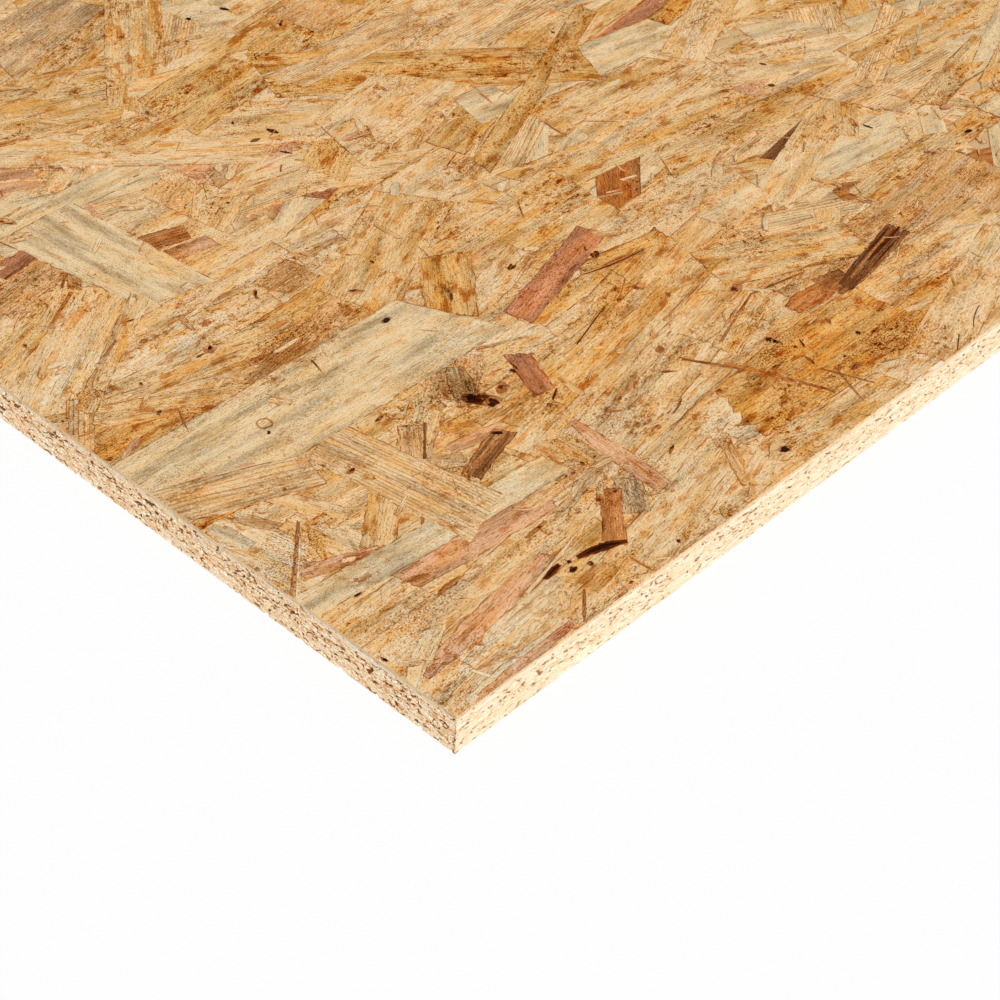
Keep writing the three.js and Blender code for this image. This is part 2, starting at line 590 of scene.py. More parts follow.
# %% The strands' map
BAKE_MAP = "OFBake"
CELL_ASPECT = 4.5  # how much longer than high a cell is
INNER_REACH, LID_REACH, WALL_REACH = 0.76, 0.84, 0.94  # shares of half a cell


def read_all(items, name, width=1, kind=float):
    """One value of every item of a mesh, as an array with a column for each number."""
    found = numpy.empty(len(items) * width, kind)
    items.foreach_get(name, found)
    return found.reshape(-1, width).T


def map_strands(mesh):
    """Gives a mesh of strands a map that it can be baked through."""
    u, v, w = read_all(mesh.attributes["blank"].data, "vector", 3)
    rim, number = (read_all(mesh.attributes[name].data, "value")[0] for name in ("rim", "number"))
    strand = numpy.unique(number.round(), return_inverse=True)[1]
    columns = math.ceil(math.sqrt((strand.max() + 1) / CELL_ASPECT))
    rows = strand.max() // columns + 1
    vertex = read_all(mesh.loops, "vertex_index", kind=int)[0]
    first, count = (
        read_all(mesh.polygons, name, kind=int)[0] for name in ("loop_start", "loop_total")
    )
    height = w[vertex]
    is_wall = numpy.maximum.reduceat(height, first) > numpy.minimum.reduceat(height, first) + 1
    folded = numpy.repeat(is_wall, count) & (height < 0)
    flat = INNER_REACH + (LID_REACH - INNER_REACH) * rim[vertex]
    reach = numpy.where(folded, WALL_REACH, flat) / 2
    across = (strand[vertex] % columns + 0.5 + reach * u[vertex]) / columns
    up = (strand[vertex] // columns + 0.5 + reach * v[vertex]) / rows
    places = numpy.stack((across, up), 1).astype(numpy.float32)
    mesh.uv_layers.new(name=BAKE_MAP).uv.foreach_set("vector", places.ravel())


print("strands' map ready")

# %% [markdown]
# ## A finish that follows each strand
#
# Every strand carries its own coordinates: `grain` holds the distance along it, the
# distance across it and its seed, in metres. Noise that is stretched on these gives
# fibres, streaks and pores that turn with the strand and stop at its ends. Stains of resin
# are different: they soak through several strands at once, so they read the place on the
# sheet instead.

# %% Finish helpers
def new_finish(name):
    """A material with an empty tree."""
    material = bpy.data.materials.new(name)
    material.use_nodes = True
    material.node_tree.nodes.clear()
    return material, Tree(material.node_tree)


def mix(tree, factor, first, second, blend="MIX"):
    """Two colours mixed."""
    settings = {"data_type": "RGBA", "blend_type": blend, "clamp_factor": True}
    return tree.add("ShaderNodeMix", settings, {0: factor, 6: first, 7: second}, 2)


def opaque(rgb):
    """A colour as a socket takes it."""
    return (*rgb, 1)


def level(tree, base, value):
    """The base colour made darker or lighter by a number that varies."""
    return mix(tree, 1, base, joined(tree, value, value, value), "MULTIPLY")


def attribute(tree, name):
    """The three numbers of an attribute of the mesh."""
    read = {"attribute_type": "GEOMETRY", "attribute_name": name}
    return split(tree, tree.add("ShaderNodeAttribute", read, {}, "Vector"))


def finish_surface(tree, tint, rough, relief, gloss, bump_strength, bump_depth):
    """The one shader of a finish, with relief as a bump, and the tree's output."""
    bumpy = {"Strength": bump_strength, "Distance": bump_depth * MM, "Height": relief}
    sockets = {
        "Base Color": tint,
        "Roughness": rough,
        "Normal": tree.add("ShaderNodeBump", {}, bumpy, "Normal"),
        "Specular IOR Level": gloss,
    }
    shader = tree.add("ShaderNodeBsdfPrincipled", {}, sockets)
    tree.add("ShaderNodeOutputMaterial", {}, {"Surface": shader})


print("finish helpers ready")

# %% [markdown]
# ## What each mark does to the colour
#
# A mark doesn't cover the wood, it stains it: the colour is multiplied by a tint. Resin,
# bark and dirt take away most of the blue, some of the green and little of the red, which
# is why all brown marks look warm. A tint over 1 stands for wood that is paler than the
# rest.

# %% Tints of the marks
TINTS = {
    "amber drift": (0.92, 0.745, 0.44),
    "pale drift": (1.03, 1.045, 1.05),
    "streak": (0.88, 0.66, 0.40),
    "latewood": (0.76, 0.50, 0.27),
    "grain line": (0.58, 0.37, 0.18),
    "open fibre": (0.56, 0.35, 0.17),
    "pale fibre": (1.02, 1.05, 1.14),
    "fleck": (1.28, 1.45, 1.85),
    "soaked resin": (0.95, 0.72, 0.36),
    "smeared resin": (0.74, 0.50, 0.26),
    "red-brown resin": (0.62, 0.37, 0.17),
    "yellow-brown resin": (0.60, 0.45, 0.19),
    "charred resin": (0.46, 0.31, 0.17),
    "weathered": (0.80, 0.80, 0.77),
    "weathered line": (0.50, 0.46, 0.42),
    "bleached": (1.05, 1.15, 1.32),
    "speck": (0.32, 0.16, 0.05),
    "pore": (0.46, 0.25, 0.08),
    "dot": (0.44, 0.23, 0.07),
    # wood darker toward a strand's outline, in broken patches
    "darker toward rim": (0.78, 0.56, 0.32),
    # painted shade where a strand's edge lifts off the one below, together with a dark joint
    "rim shade and joint": (0.46, 0.28, 0.13),
    "sawn line": (0.72, 0.52, 0.34),
    "rust": (0.78, 0.52, 0.32),
    "dash": (0.70, 0.43, 0.22),
}


def shade(tree, base, amount, mark):
    """The base colour multiplied by the tint of a mark where amount is 1."""
    return mix(tree, amount, base, opaque(TINTS[mark]), "MULTIPLY")


print("kinds of marks:", len(TINTS))

# %% [markdown]
# ## The noises of a strand
#
# All marks of a strand come from a few kinds of noise: fibres drawn out along the strand,
# thin lines, and blotches on the sheet. `Grain` makes them and keeps the ones that
# several marks share, so that marks that belong together, such as browned and charred
# resin, lie together. Each noise has a layer number of its own, which keeps it unlike the
# others.

# %% The grain of a strand
SEED_STEP = 60  # spreads the seeds out, so that no two strands share their noise
OWN_STEP = 977  # and spreads them out for the numbers that hold for a whole strand
GRIT_SIZE = 0.3 * MM
BLOTCHY = 0.6  # roughness of the blotches' noise


class Grain:
    """Where a point of a finish lies, what wood it is, and the noise that marks it."""

    def __init__(self, tree):
        self.tree = tree
        self.along, self.across, self.seed = attribute(tree, "grain")
        wood = {"Fac": attribute(tree, "strand")[2]}
        self.sheet = tree.add("ShaderNodeTexCoord", {}, {}, "Object")
        self.sheet_x, self.sheet_y, _ = split(tree, self.sheet)

        colours = {"steps": wood_steps(lambda row: toned(row[1]))}
        traits = {"steps": wood_steps(lambda row: row[2])}
        self.colour = tree.add("ShaderNodeValToRGB", colours, wood)
        self.rings, self.stains, self.pores = split(
            tree, tree.add("ShaderNodeValToRGB", traits, wood)
        )
        hashed = {"W": self.seed * OWN_STEP}
        one_for_all = {"noise_dimensions": "1D"}
        own = tree.add("ShaderNodeTexWhiteNoise", one_for_all, hashed, "Color")
        self.pale, self.warm, self.pitch = split(tree, own)

        self.streak = self.fibres(run=30, width=1.8, layer=1, detail=3.0)
        self.fine = self.fibres(run=2.8, width=0.27, layer=3, detail=1.0)
        self.fox = self.fibres(run=3.2, width=2.4, layer=5, detail=5.0, roughness=0.7)
        self.patch = self.fibres(run=12, width=5, layer=13).smooth(0.38, 0.62)
        thin_line = self.lines(run=18, width=1.3, layer=12, thin=0.024)
        self.line = thin_line * (self.pale * 0.5 + 0.3) * (self.pores * 0.7 + 0.3)
        self.near_rim = attribute(tree, "rim")[0]
        # the outer part of the rim, where the finish paints shade and a dark joint and the bump
        # sinks
        self.rim = self.near_rim.smooth(0.62, 0.92)
        self.cluster = self.blotches(size=24, layer=4, detail=2.0).smooth(0.45, 0.60)
        scale = {0: self.sheet, "Scale": 1 / GRIT_SIZE}
        grit_place = tree.add("ShaderNodeVectorMath", {"operation": "SCALE"}, scale)
        self.grit = noise(tree, grit_place, detail=1.0)

    def fibres(self, run, width, layer, detail=2.0, roughness=0.5):
        """Noise drawn out along the strand: run and width, in mm, are its features' size."""
        along, across = self.along / (run * MM), self.across / (width * MM)
        place = joined(self.tree, along, across, self.seed * SEED_STEP + layer)
        return noise(self.tree, place, detail, roughness)

    def lines(self, run, width, layer, thin):
        """Thin lines along the strand, where a drawn-out noise crosses its middle."""
        off_middle = (self.fibres(run, width, layer) - 0.5).math("ABSOLUTE")
        return off_middle.smooth(thin, thin * 0.3)

    def blotches(self, size, layer, detail=3.0, stretch=1.6):
        """Noise on the sheet, a little drawn out along its length."""
        x, y = self.sheet_x / (size * stretch * MM), self.sheet_y / (size * MM)
        return noise(self.tree, joined(self.tree, x, y, layer), detail, BLOTCHY)


print("grit is", round(GRIT_SIZE / MM, 1), "mm across")

# %% [markdown]
# ## Stains at the near corner
#
# In the hot press, resin bleeds out of knots and bark and browns the wood around it. Noise
# alone puts such stains anywhere, which is right for most of the sheet. The near corner is
# looked at closely, so its stains have known places: ovals whose rims are made ragged by
# the same noise. Painting them on a picture would work too, but an oval in a list can be
# moved, and it stays sharp at any size.

# %% Stains at known places
# Places near the corner were measured on a drawing that is a little larger than life. These
# shares take its millimetres to the sheet's, along the long and the short edge.
DRAWING_SCALE = (0.944, 0.924)
WIDTH_SCALE = sum(DRAWING_SCALE) / 2


def on_sheet(x, y):
    """The place on the sheet of a point on the drawing."""
    return Vector((X_LOW + x * DRAWING_SCALE[0] * MM, Y_LOW + y * DRAWING_SCALE[1] * MM, 0))


# Millimetres on the drawing from the near corner, along the long and the short edge: the
# middle of the stain and how far it reaches, and how strong it is.
AMBER_STAINS = (
    (262, 42, 62, 20, 0.75), (240, 130, 34, 13, 0.7), (205, 110, 40, 12, 0.5),
    (20, 195, 34, 9, 0.5), (152, 108, 34, 12, 0.55), (180, 95, 40, 10, 0.4),
    (57, 41, 7, 4, 0.7), (90, 12, 20, 6, 0.6), (70, 198, 30, 12, 0.3),
    (40, 208, 26, 6, 0.3), (283, 17, 18, 4, 0.9), (320, 37.5, 9, 3, 1.0),
    (128, 70, 9, 9, 0.5), (120, 210, 25, 9, 0.45), (225, 24, 14, 6, 0.6),
    (243, 140, 14, 7, 0.9), (103, 274, 14, 12, 0.6), (195, 186, 14, 9, 0.5),
    (250, 92, 14, 7, 0.7), (170, 25, 10, 7, 0.5),
)
BROWN_STAINS = (
    (166, 58, 7, 4, 0.95), (162, 62, 3, 3, 0.9), (146, 103, 7, 4, 0.6), (147, 91.5, 5, 2.6, 0.9),
    (96, 190, 26, 8, 0.6), (116, 198, 12, 7, 0.45), (172.8, 177, 5, 4, 0.8),
    (210, 167, 6, 3, 0.85), (262, 93, 3, 2.5, 0.9), (233, 122, 3.4, 3, 0.8), (130, 124, 8, 8, 0.6),
    (126, 119, 6, 5, 0.8), (79, 181, 4, 3, 0.9), (133, 195, 3, 6, 0.95), (128, 229, 12, 6, 0.6),
    (27, 73, 3.5, 3, 0.8), (20, 77, 3, 3, 0.6), (42, 121, 3, 7, 0.5), (118, 108, 14, 2.5, 0.5),
    (302, 30, 6, 1.8, 0.8), (128, 130, 8, 9, 0.45), (10, 197, 5, 3, 0.6), (23, 197, 5, 2.4, 0.5),
    (300, 66, 14, 5, 0.5), (52, 187, 6, 3, 0.5), (8, 155, 9, 3.5, 0.7), (30, 84, 9, 3, 0.7),
)
GREY_STAINS = (
    (40, 178, 56, 10, 0.9), (62, 169, 34, 4, 0.9), (14, 170, 26, 8, 0.6),
    (150, 150, 20, 14, 0.7), (320, 62, 24, 12, 0.6), (296, 64, 10, 8, 0.8),
)
PALE_PLACES = (
    (183, 113, 24, 11, 0.8), (156, 144, 14, 12, 0.6), (160, 129, 20, 8, 0.8),
    (190, 38, 16, 12, 0.9), (205, 25, 14, 9, 0.8), (4, 94, 20, 14, 0.9), (68, 229, 22, 10, 0.9),
    (23, 237, 22, 12, 1.0), (322, 66, 22, 10, 0.7), (210, 127, 16, 8, 0.6), (10, 40, 16, 8, 0.6),
    (22, 13, 34, 12, 0.9), (11, 110, 9, 24, 0.5), (80, 227, 30, 9, 0.5), (154, 237, 14, 7, 0.7),
    (46, 17, 26, 8, 0.4), (98, 132, 22, 9, 0.5), (60, 72, 50, 8, 0.35),
)
PEPPERED = (
    (163, 92, 8, 5, 0.9), (150, 98, 6, 5, 1.0), (140, 97, 7, 4, 0.8), (172, 176, 5, 5, 0.8),
    (202, 170, 7, 4, 0.7), (245, 55, 16, 9, 0.8), (203, 82, 8, 8, 0.5), (32, 44, 18, 6, 0.6),
    (10, 192, 14, 6, 0.7), (190, 52, 12, 6, 0.5), (18, 100, 16, 8, 0.5), (283, 22, 24, 8, 0.6),
    (128, 120, 9, 8, 0.9), (38, 72, 8, 5, 0.5), (100, 200, 12, 6, 0.5), (85, 186, 10, 4, 0.4),
)
KNOT_PLACE, KNOT_SIZE = (58.5, 164.6), 3.2
OUTER_RIM, INNER_RIM = 1.15, 0.35  # where a stain starts and is full, in its reaches


def stain_mask(grain, ragged, stains):
    """How much of any of the stains there is at a place."""
    tree = grain.tree
    outer, inner = OUTER_RIM - ragged, INNER_RIM - ragged
    mask = 0.0
    for x, y, reach_x, reach_y, strength in stains:
        middle = on_sheet(x, y)
        shares = Vector((1 / reach_x, 1 / reach_y, 0)) / (WIDTH_SCALE * MM)
        scaled = {0: grain.sheet, 1: shares, 2: -middle * shares}
        away = tree.add("ShaderNodeVectorMath", {"operation": "MULTIPLY_ADD"}, scaled)
        away = tree.add("ShaderNodeVectorMath", {"operation": "LENGTH"}, {0: away}, "Value")
        mask = away.smooth(outer, inner, strength) + mask
    return mask.math("MINIMUM", 1.0)


def ragged_rims(grain):
    """How far the rims of the resin stains stray in and out."""
    return (grain.fox - 0.5) * 8.0 + (grain.grit - 0.5) * 0.8


def knot_ring(grain):
    """The dark ring of the corner's one small knot."""
    knot = on_sheet(*KNOT_PLACE)
    x = (grain.sheet_x - knot.x) / (KNOT_SIZE * MM)
    y = (grain.sheet_y - knot.y) / (KNOT_SIZE * MM)
    around = (x * x + y * y).math("SQRT") + (grain.fox - 0.5) * 0.7
    return (around - 0.86).math("ABSOLUTE").smooth(0.22, 0.06)


print("stains:", sum(map(len, (AMBER_STAINS, BROWN_STAINS, GREY_STAINS, PALE_PLACES, PEPPERED))))

# %% [markdown]
# ## Pressed softwood
#
# A strand's face shows the tone of its wood, streaks and year rings along the grain, resin
# that has browned in the press, dark specks and cracks, and along its rim painted shade with
# a dark joint. Each of these is one noise, cut off at its own level and used to multiply the
# colour by a tint, so that the marks deepen each other where they meet. The order is the
# real one: first the wood, then the resin, then the specks and the rim, and last the saw.

# %% Plain wood
BASE_LEVEL, PALE_SPREAD = 1.075, 0.08  # a strand's lightness, and how far it may differ
TONE_CONTRAST, TONE_CALMED = 1.35, 0.5  # calmer where resin stains the wood anyway


def plain_wood(grain):
    """The wood's own colour, with tones and broad streaks that drift along the strand."""
    tree, stains, streak = grain.tree, grain.stains, grain.streak
    tint = level(tree, grain.colour, grain.pale * PALE_SPREAD + BASE_LEVEL)
    tone = grain.fibres(run=36, width=6, layer=17, detail=1.0)
    tint = level(tree, tint, (tone - 0.5) * (TONE_CONTRAST - stains * TONE_CALMED) + 1)
    drift = grain.fibres(run=24, width=7, layer=14, detail=4.0)
    tint = shade(tree, tint, drift.smooth(0.47, 0.61) * (stains * 0.75 + 0.15), "amber drift")
    tint = shade(tree, tint, drift.smooth(0.46, 0.34), "pale drift")
    striped = grain.rings * 0.30 + grain.warm * 0.12 + 0.04
    tint = shade(tree, tint, streak.smooth(0.48, 0.66) * striped, "streak")
    return level(tree, tint, streak.smooth(0.47, 0.32) * 0.06 + 1)


print("tones differ by up to", round(PALE_SPREAD * 100), "% from strand to strand")

# %% Year rings, fibres and grit
RING_WIDTH, RING_SPREAD = 1.3, 0.6  # mm from ring to ring at least, and how much more
RING_WARP, RING_ARCH = 9, 3  # how many mm rings wander, and how bent they lie
GRIT_GAINS = (0.7, 1.1, 2.3)  # how much grit changes red, green and blue


def grown_marks(grain, tint):
    """What grew in the wood: year rings, dark lines, open and pale fibres, and grit."""
    tree, fine = grain.tree, grain.fine
    warp = (grain.fibres(run=90, width=14, layer=2, detail=1.0) - 0.5) * RING_WARP * MM
    arch = grain.along * grain.along * (grain.pitch - 0.5) * RING_ARCH
    ring_width = grain.pitch * RING_SPREAD * MM + RING_WIDTH * MM
    phase = (grain.across + warp + arch) / ring_width
    ring = (phase * (2 * math.pi)).math("SINE") * 0.5 + 0.5
    late = ring.smooth(0.62, 0.98) * grain.rings * fine.smooth(0.30, 0.55)
    tint = shade(tree, tint, late, "latewood")
    tint = shade(tree, tint, grain.line, "grain line")
    fibrous = (grain.patch * 0.9 + 0.1) * grain.pores
    tint = shade(tree, tint, fine.smooth(0.57, 0.70) * fibrous * 0.5, "open fibre")
    tint = shade(tree, tint, fine.smooth(0.46, 0.32), "pale fibre")
    rougher = (grain.grit - 0.5) * (fibrous * 1.05 + 0.7)
    speckled = joined(tree, *(rougher * gain + 1 for gain in GRIT_GAINS))
    tint = mix(tree, 1, tint, speckled, "MULTIPLY")
    fleck = grain.fibres(run=2.4, width=0.32, layer=15, detail=0.0).smooth(0.70, 0.78)
    return shade(tree, tint, fleck, "fleck")


print("year rings lie", RING_WIDTH, "to", round(RING_WIDTH + RING_SPREAD, 1), "mm apart")

# %% Weathered and pale places
def marked_corner(grain, tint):
    """The grey weathered wood and the scuffed pale places at the near corner."""
    tree, streak = grain.tree, grain.streak
    greyed = stain_mask(grain, (streak - 0.5) * 5.0, GREY_STAINS)
    tint = shade(tree, tint, greyed * streak.smooth(0.40, 0.60), "weathered")
    tint = shade(tree, tint, greyed * grain.line, "weathered line")
    bleached = stain_mask(grain, (grain.fox - 0.5) * 4.0, PALE_PLACES)
    return shade(tree, tint, bleached, "bleached")


print("weathered places:", len(GREY_STAINS), "pale places:", len(PALE_PLACES))

# %% Resin
def resin_masks(grain):
    """How far resin has soaked in and how far it has browned."""
    fox, cluster, stains = grain.fox, grain.cluster, grain.stains
    soak = fox.smooth(0.48, 0.57) * (cluster * 0.8 + 0.15) * stains
    browned = fox.smooth(0.53, 0.61) * (cluster * 0.95 + 0.05) * (stains * 0.9 + 0.1)
    return soak, browned


def add_known_resin(grain, rims, soak, browned):
    """The same two with the stains of the near corner added."""
    amber = stain_mask(grain, rims, AMBER_STAINS)
    browned = browned + stain_mask(grain, rims, BROWN_STAINS)
    return soak + amber * (1 - soak * 0.5), browned + knot_ring(grain)


def resinous(grain, tint, soak, browned):
    """The wood with its resin: soaked in, smeared, browned, and charred in small spots."""
    tree, stains = grain.tree, grain.stains
    smear = grain.fibres(run=12, width=4.5, layer=16, detail=4.0).smooth(0.555, 0.66)
    charred = grain.fox.smooth(0.60, 0.65) * (grain.cluster * 0.95 + 0.05)
    browns = (opaque(TINTS[name]) for name in ("red-brown resin", "yellow-brown resin"))
    tint = shade(tree, tint, soak * 0.75, "soaked resin")
    tint = shade(tree, tint, smear * (stains * 0.8 + 0.2), "smeared resin")
    tint = mix(tree, browned * 0.95, tint, mix(tree, grain.warm, *browns), "MULTIPLY")
    return shade(tree, tint, charred * (stains * 0.8 + 0.2), "charred resin")


print("resin stains at known places:", len(AMBER_STAINS) + len(BROWN_STAINS))

# %% Specks, pores, cracks and rims
BLACKISH = opaque(toned((56, 30, 10)))


def small_marks(grain, tint, peppered):
    """Specks, pores, dots and cracks, darker wood toward the rim, and painted shade at its edge.
    """
    tree, porous = grain.tree, grain.pores * 0.8 + 0.2
    speck = grain.blotches(size=0.60, layer=6, detail=1.0, stretch=1.3) + peppered
    tint = shade(tree, tint, speck.smooth(0.65, 0.70) * porous, "speck")
    pore = grain.fibres(run=1.5, width=0.45, layer=9, detail=0.0)
    tint = shade(tree, tint, pore.smooth(0.715, 0.75) * porous, "pore")
    dot = grain.blotches(size=0.42, layer=21, detail=0.0, stretch=1.2)
    tint = shade(tree, tint, dot.smooth(0.685, 0.73) * (grain.patch * 0.7 + 0.3), "dot")
    crack = grain.fibres(run=7, width=0.30, layer=7, detail=0.0).smooth(0.75, 0.79)
    tint = mix(tree, crack * 0.8, tint, BLACKISH)
    broken = grain.fibres(run=5, width=30, layer=8).smooth(0.42, 0.56)
    # the colour gets darker toward the strand's outline, in broken patches
    darker_toward_rim = grain.near_rim * broken * grain.fox.smooth(0.44, 0.56) * 0.7
    tint = shade(tree, tint, darker_toward_rim, "darker toward rim")
    # painted shade along the outline where a strand's edge lifts, together with a dark joint
    return shade(tree, tint, grain.rim * broken * 0.85, "rim shade and joint")


print("cracks are", tuple(round(share, 3) for share in BLACKISH))

# %% Sawn sides and the last deepening
FRESH_CUT = opaque(toned((240, 212, 174)))
SAWN_FROM, SAWN_TO = -1.4 * MM, -0.9 * MM  # how near the sheet's side a wall is sawn
CALMED = -0.8  # how strongly wood that is too pale is brought back


def sawn_sides(grain, tint):
    """Clean pale wood on the upright walls of strands, most of all where the saw went."""
    tree = grain.tree
    normal = tree.add("ShaderNodeTexCoord", {}, {}, "Normal")
    upright = split(tree, normal)[2].math("ABSOLUTE").smooth(0.7, 0.3)
    past_long = grain.sheet_x.math("ABSOLUTE") - X_HIGH
    past_short = grain.sheet_y.math("ABSOLUTE") - Y_HIGH
    sawn = past_long.math("MAXIMUM", past_short).smooth(SAWN_FROM, SAWN_TO)
    return mix(tree, upright * (sawn * 0.5 + 0.2), tint, FRESH_CUT)


def deepened(tree, tint):
    """The colour with its marks deepened, and no paler than wood can be."""
    tint = tree.add("ShaderNodeGamma", {}, {"Color": tint, "Gamma": CONTRAST})
    excess = split(tree, tint)[0].math("MAXIMUM", MOST_RED) / MOST_RED
    return level(tree, tint, excess.math("POWER", CALMED))


print("marks are deepened by", CONTRAST)

# %% The strands' finish
def strand_finish(name, at_corner=False):
    """The finish of pressed strands, with or without the stains of the near corner."""
    material, tree = new_finish(name)
    grain = Grain(tree)
    tint = grown_marks(grain, plain_wood(grain))
    soak, browned = resin_masks(grain)
    peppered = grain.cluster * 0.07
    if at_corner:
        rims = ragged_rims(grain)
        tint = marked_corner(grain, tint)
        soak, browned = add_known_resin(grain, rims, soak, browned)
        peppered = peppered + stain_mask(grain, rims, PEPPERED) * 0.10
    tint = resinous(grain, tint, soak, browned)
    tint = small_marks(grain, tint, peppered)
    tint = deepened(tree, sawn_sides(grain, tint))
    relief = grain.grit * 0.25 - grain.fine * 0.15 - grain.rim * 0.5
    rough = 0.78 - soak * 0.12 + (grain.fine - 0.5) * 0.2
    finish_surface(tree, tint, rough, relief, gloss=0.02, bump_strength=0.6, bump_depth=0.3)
    return material


pressed_strands = strand_finish("pressed_strands")
corner_strands = strand_finish("pressed_strands_at_the_corner", at_corner=True)
print("finish:", pressed_strands.name, len(pressed_strands.node_tree.nodes), "nodes")

# %% [markdown]
# ## Sawn strand ends
#
# On an edge the saw has opened the strands. Where it ran across them it left short brown
# grains and open pores, where it ran along them long pale lines. The shape tree of the
# edges stores which of the two a place is, how deep its pits are and which layer it lies
# in, and the finish reads that, so that the colour and the relief agree; the pits are also
# darkened, which is painted shade in them.

# %% The sawn edges' finish
# the last colour is painted shade in the sawn pits and also the dark specks of the wood
PALE_END, BROWN_END, PIT_SHADE_AND_SPECK = (
    opaque(linear(rgb)) for rgb in ((239, 231, 208), (235, 199, 155), (104, 54, 12))
)
MIDDLE_HEIGHT = 9.5  # mm, where the coarse strands in the middle of the board lie


def sawn_finish():
    """The finish of strand ends that the saw has opened."""
    material, tree = new_finish("sawn_strand_ends")
    cut, pit, layer = attribute(tree, "laid_open")
    sheet_x, sheet_y, height = split(tree, tree.add("ShaderNodeTexCoord", {}, {}, "Object"))
    run = sheet_x + sheet_y

    def grains(length, width, place, detail=2.0):
        """Noise along the edge: length and width, in mm, are its features' size."""
        where = joined(tree, run / (length * MM), height / (width * MM), place)
        return noise(tree, where, detail, BLOTCHY)

    broad = grains(length=9, width=2.2, place=5)
    browner = layer.smooth(0.60, 0.40) * 0.4 + broad.smooth(0.46, 0.62) * 0.4 + cut * 0.25
    tint = mix(tree, browner, PALE_END, BROWN_END)
    line = (grains(length=24, width=0.55, place=1) - 0.5).math("ABSOLUTE").smooth(0.035, 0.01)
    tint = shade(tree, tint, line * (0.6 - cut * 0.5), "sawn line")
    grit = grains(length=0.6, width=0.4, place=2)
    tint = level(tree, tint, grit * (cut * 2.2 + 0.4) + (0.85 - cut * 0.96))
    middle = (height / MM - MIDDLE_HEIGHT).math("ABSOLUTE").smooth(5.5, 2.5) * cut
    rust = grains(length=4.5, width=1.4, place=6, detail=3.0).smooth(0.50, 0.62)
    tint = shade(tree, tint, rust * (middle * 0.5 + cut * 0.45), "rust")
    dash = (grains(length=3.4, width=0.6, place=3) + cut * 0.03).smooth(0.60, 0.68)
    tint = shade(tree, tint, dash * (cut * 0.4 + 0.45), "dash")
    gathered = broad.smooth(0.44, 0.60) * 0.10 + middle * 0.05 - 0.03
    dot = (grains(length=2.7, width=1.4, place=4, detail=1.0) + gathered).smooth(0.66, 0.70)
    # painted shade: the pits are darkened, together with the wood's own dark dots
    pit_shade_and_speck = (pit + (grit - 0.5) * 0.9).smooth(0.35, 0.7).math("MAXIMUM", dot)
    tint = mix(tree, pit_shade_and_speck * (cut * 0.35 + 0.55), tint, PIT_SHADE_AND_SPECK)
    relief = grit * 0.6 - dash * 0.3 - pit_shade_and_speck * 0.8
    rough = grit * 0.15 + 0.78
    finish_surface(tree, tint, rough, relief, gloss=0.03, bump_strength=0.7, bump_depth=0.25)
    return material


sawn_ends = sawn_finish()
print("finish:", sawn_ends.name, len(sawn_ends.node_tree.nodes), "nodes")

# %% [markdown]
# ## The mats on the two faces
#
# The strands of a face lie over one another several deep, and so do its mats here: two or
# three of whole strands, then slivers, shards and loose fibres, and last small bits of
# bark. Each mat has its own range of sizes and depths. The lower ones show only in gaps, so
# they get outlines with fewer points.

# %% Kinds of strands
THICKNESS = 0.6 * MM  # of a strand
FEWEST_OUTLINE = 8  # points of a strand that hardly shows
SOUND_WOOD = 1 - WOODS["burnt"][0] - WOODS["pitch"][0]  # only bark bits are darker
ANY_WOOD, DARK_WOOD = (0.0, SOUND_WOOD), (0.978, 1.0)
SUNK = 0.5 * MM  # how far scattered strands lie under the ones laid one by one


def kind_of_strand(long, wide, turned, split, tilt=0.0, lens=0.0, bow=0.0, woods=ANY_WOOD):
    """What the scatter tree takes, from millimetres, degrees and shares."""
    sizes = zip(("Shortest", "Longest", "Narrowest", "Widest"), (*long, *wide))
    forms = {"Tilt": tilt, "Split": split, "Bow": bow}
    return {
        **{name: size * MM for name, size in (*sizes, *forms.items())},
        "Turn spread": math.radians(turned),
        "Lens": lens,
        "First wood": woods[0],
        "Last wood": woods[1],
    }


STRANDS = kind_of_strand((55, 165), (8, 40), 22, split=3, tilt=0.05)
SLIVERS = kind_of_strand((5, 40), (0.4, 2.2), 30, split=2, tilt=0.01, lens=0.6, bow=0.8)
SHARDS = kind_of_strand((4, 15), (1.2, 5), 40, split=2, lens=0.1, bow=0.3)
LOOSE_FIBRES = kind_of_strand(
    (2, 11), (0.25, 0.9), 40, split=0.6, lens=0.5, bow=0.5, woods=(0.3, SOUND_WOOD)
)
BARK_BITS = kind_of_strand((1.5, 6), (0.8, 3), 60, split=0.5, lens=0.8, woods=DARK_WOOD)
print("strands are", STRANDS["Shortest"] / MM, "to", STRANDS["Longest"] / MM, "mm long")

# %% Laying a mat
BOTTOM_INSET = 0.8 * MM  # how far the ragged lower arris stands out past the strands below
mat_low = (X_LOW - OVERHANG, Y_LOW - OVERHANG)
mat_high = (X_HIGH + OVERHANG, Y_HIGH + OVERHANG)


def lay_strands(piece, outline_points, rimmed, top, finish):
    """Turns a piece's points into strands on a face of the sheet."""
    blanks = {
        "Outline points": outline_points,
        "Thickness": THICKNESS,
        "Rimmed": float(rimmed),
        "Face height": TOP_Z if top else FLOOR_Z,
        "Facing": 1.0 if top else -1.0,
        "Finish": finish,
    }
    grow(piece, strand_tree, blanks)
    return settle(piece)


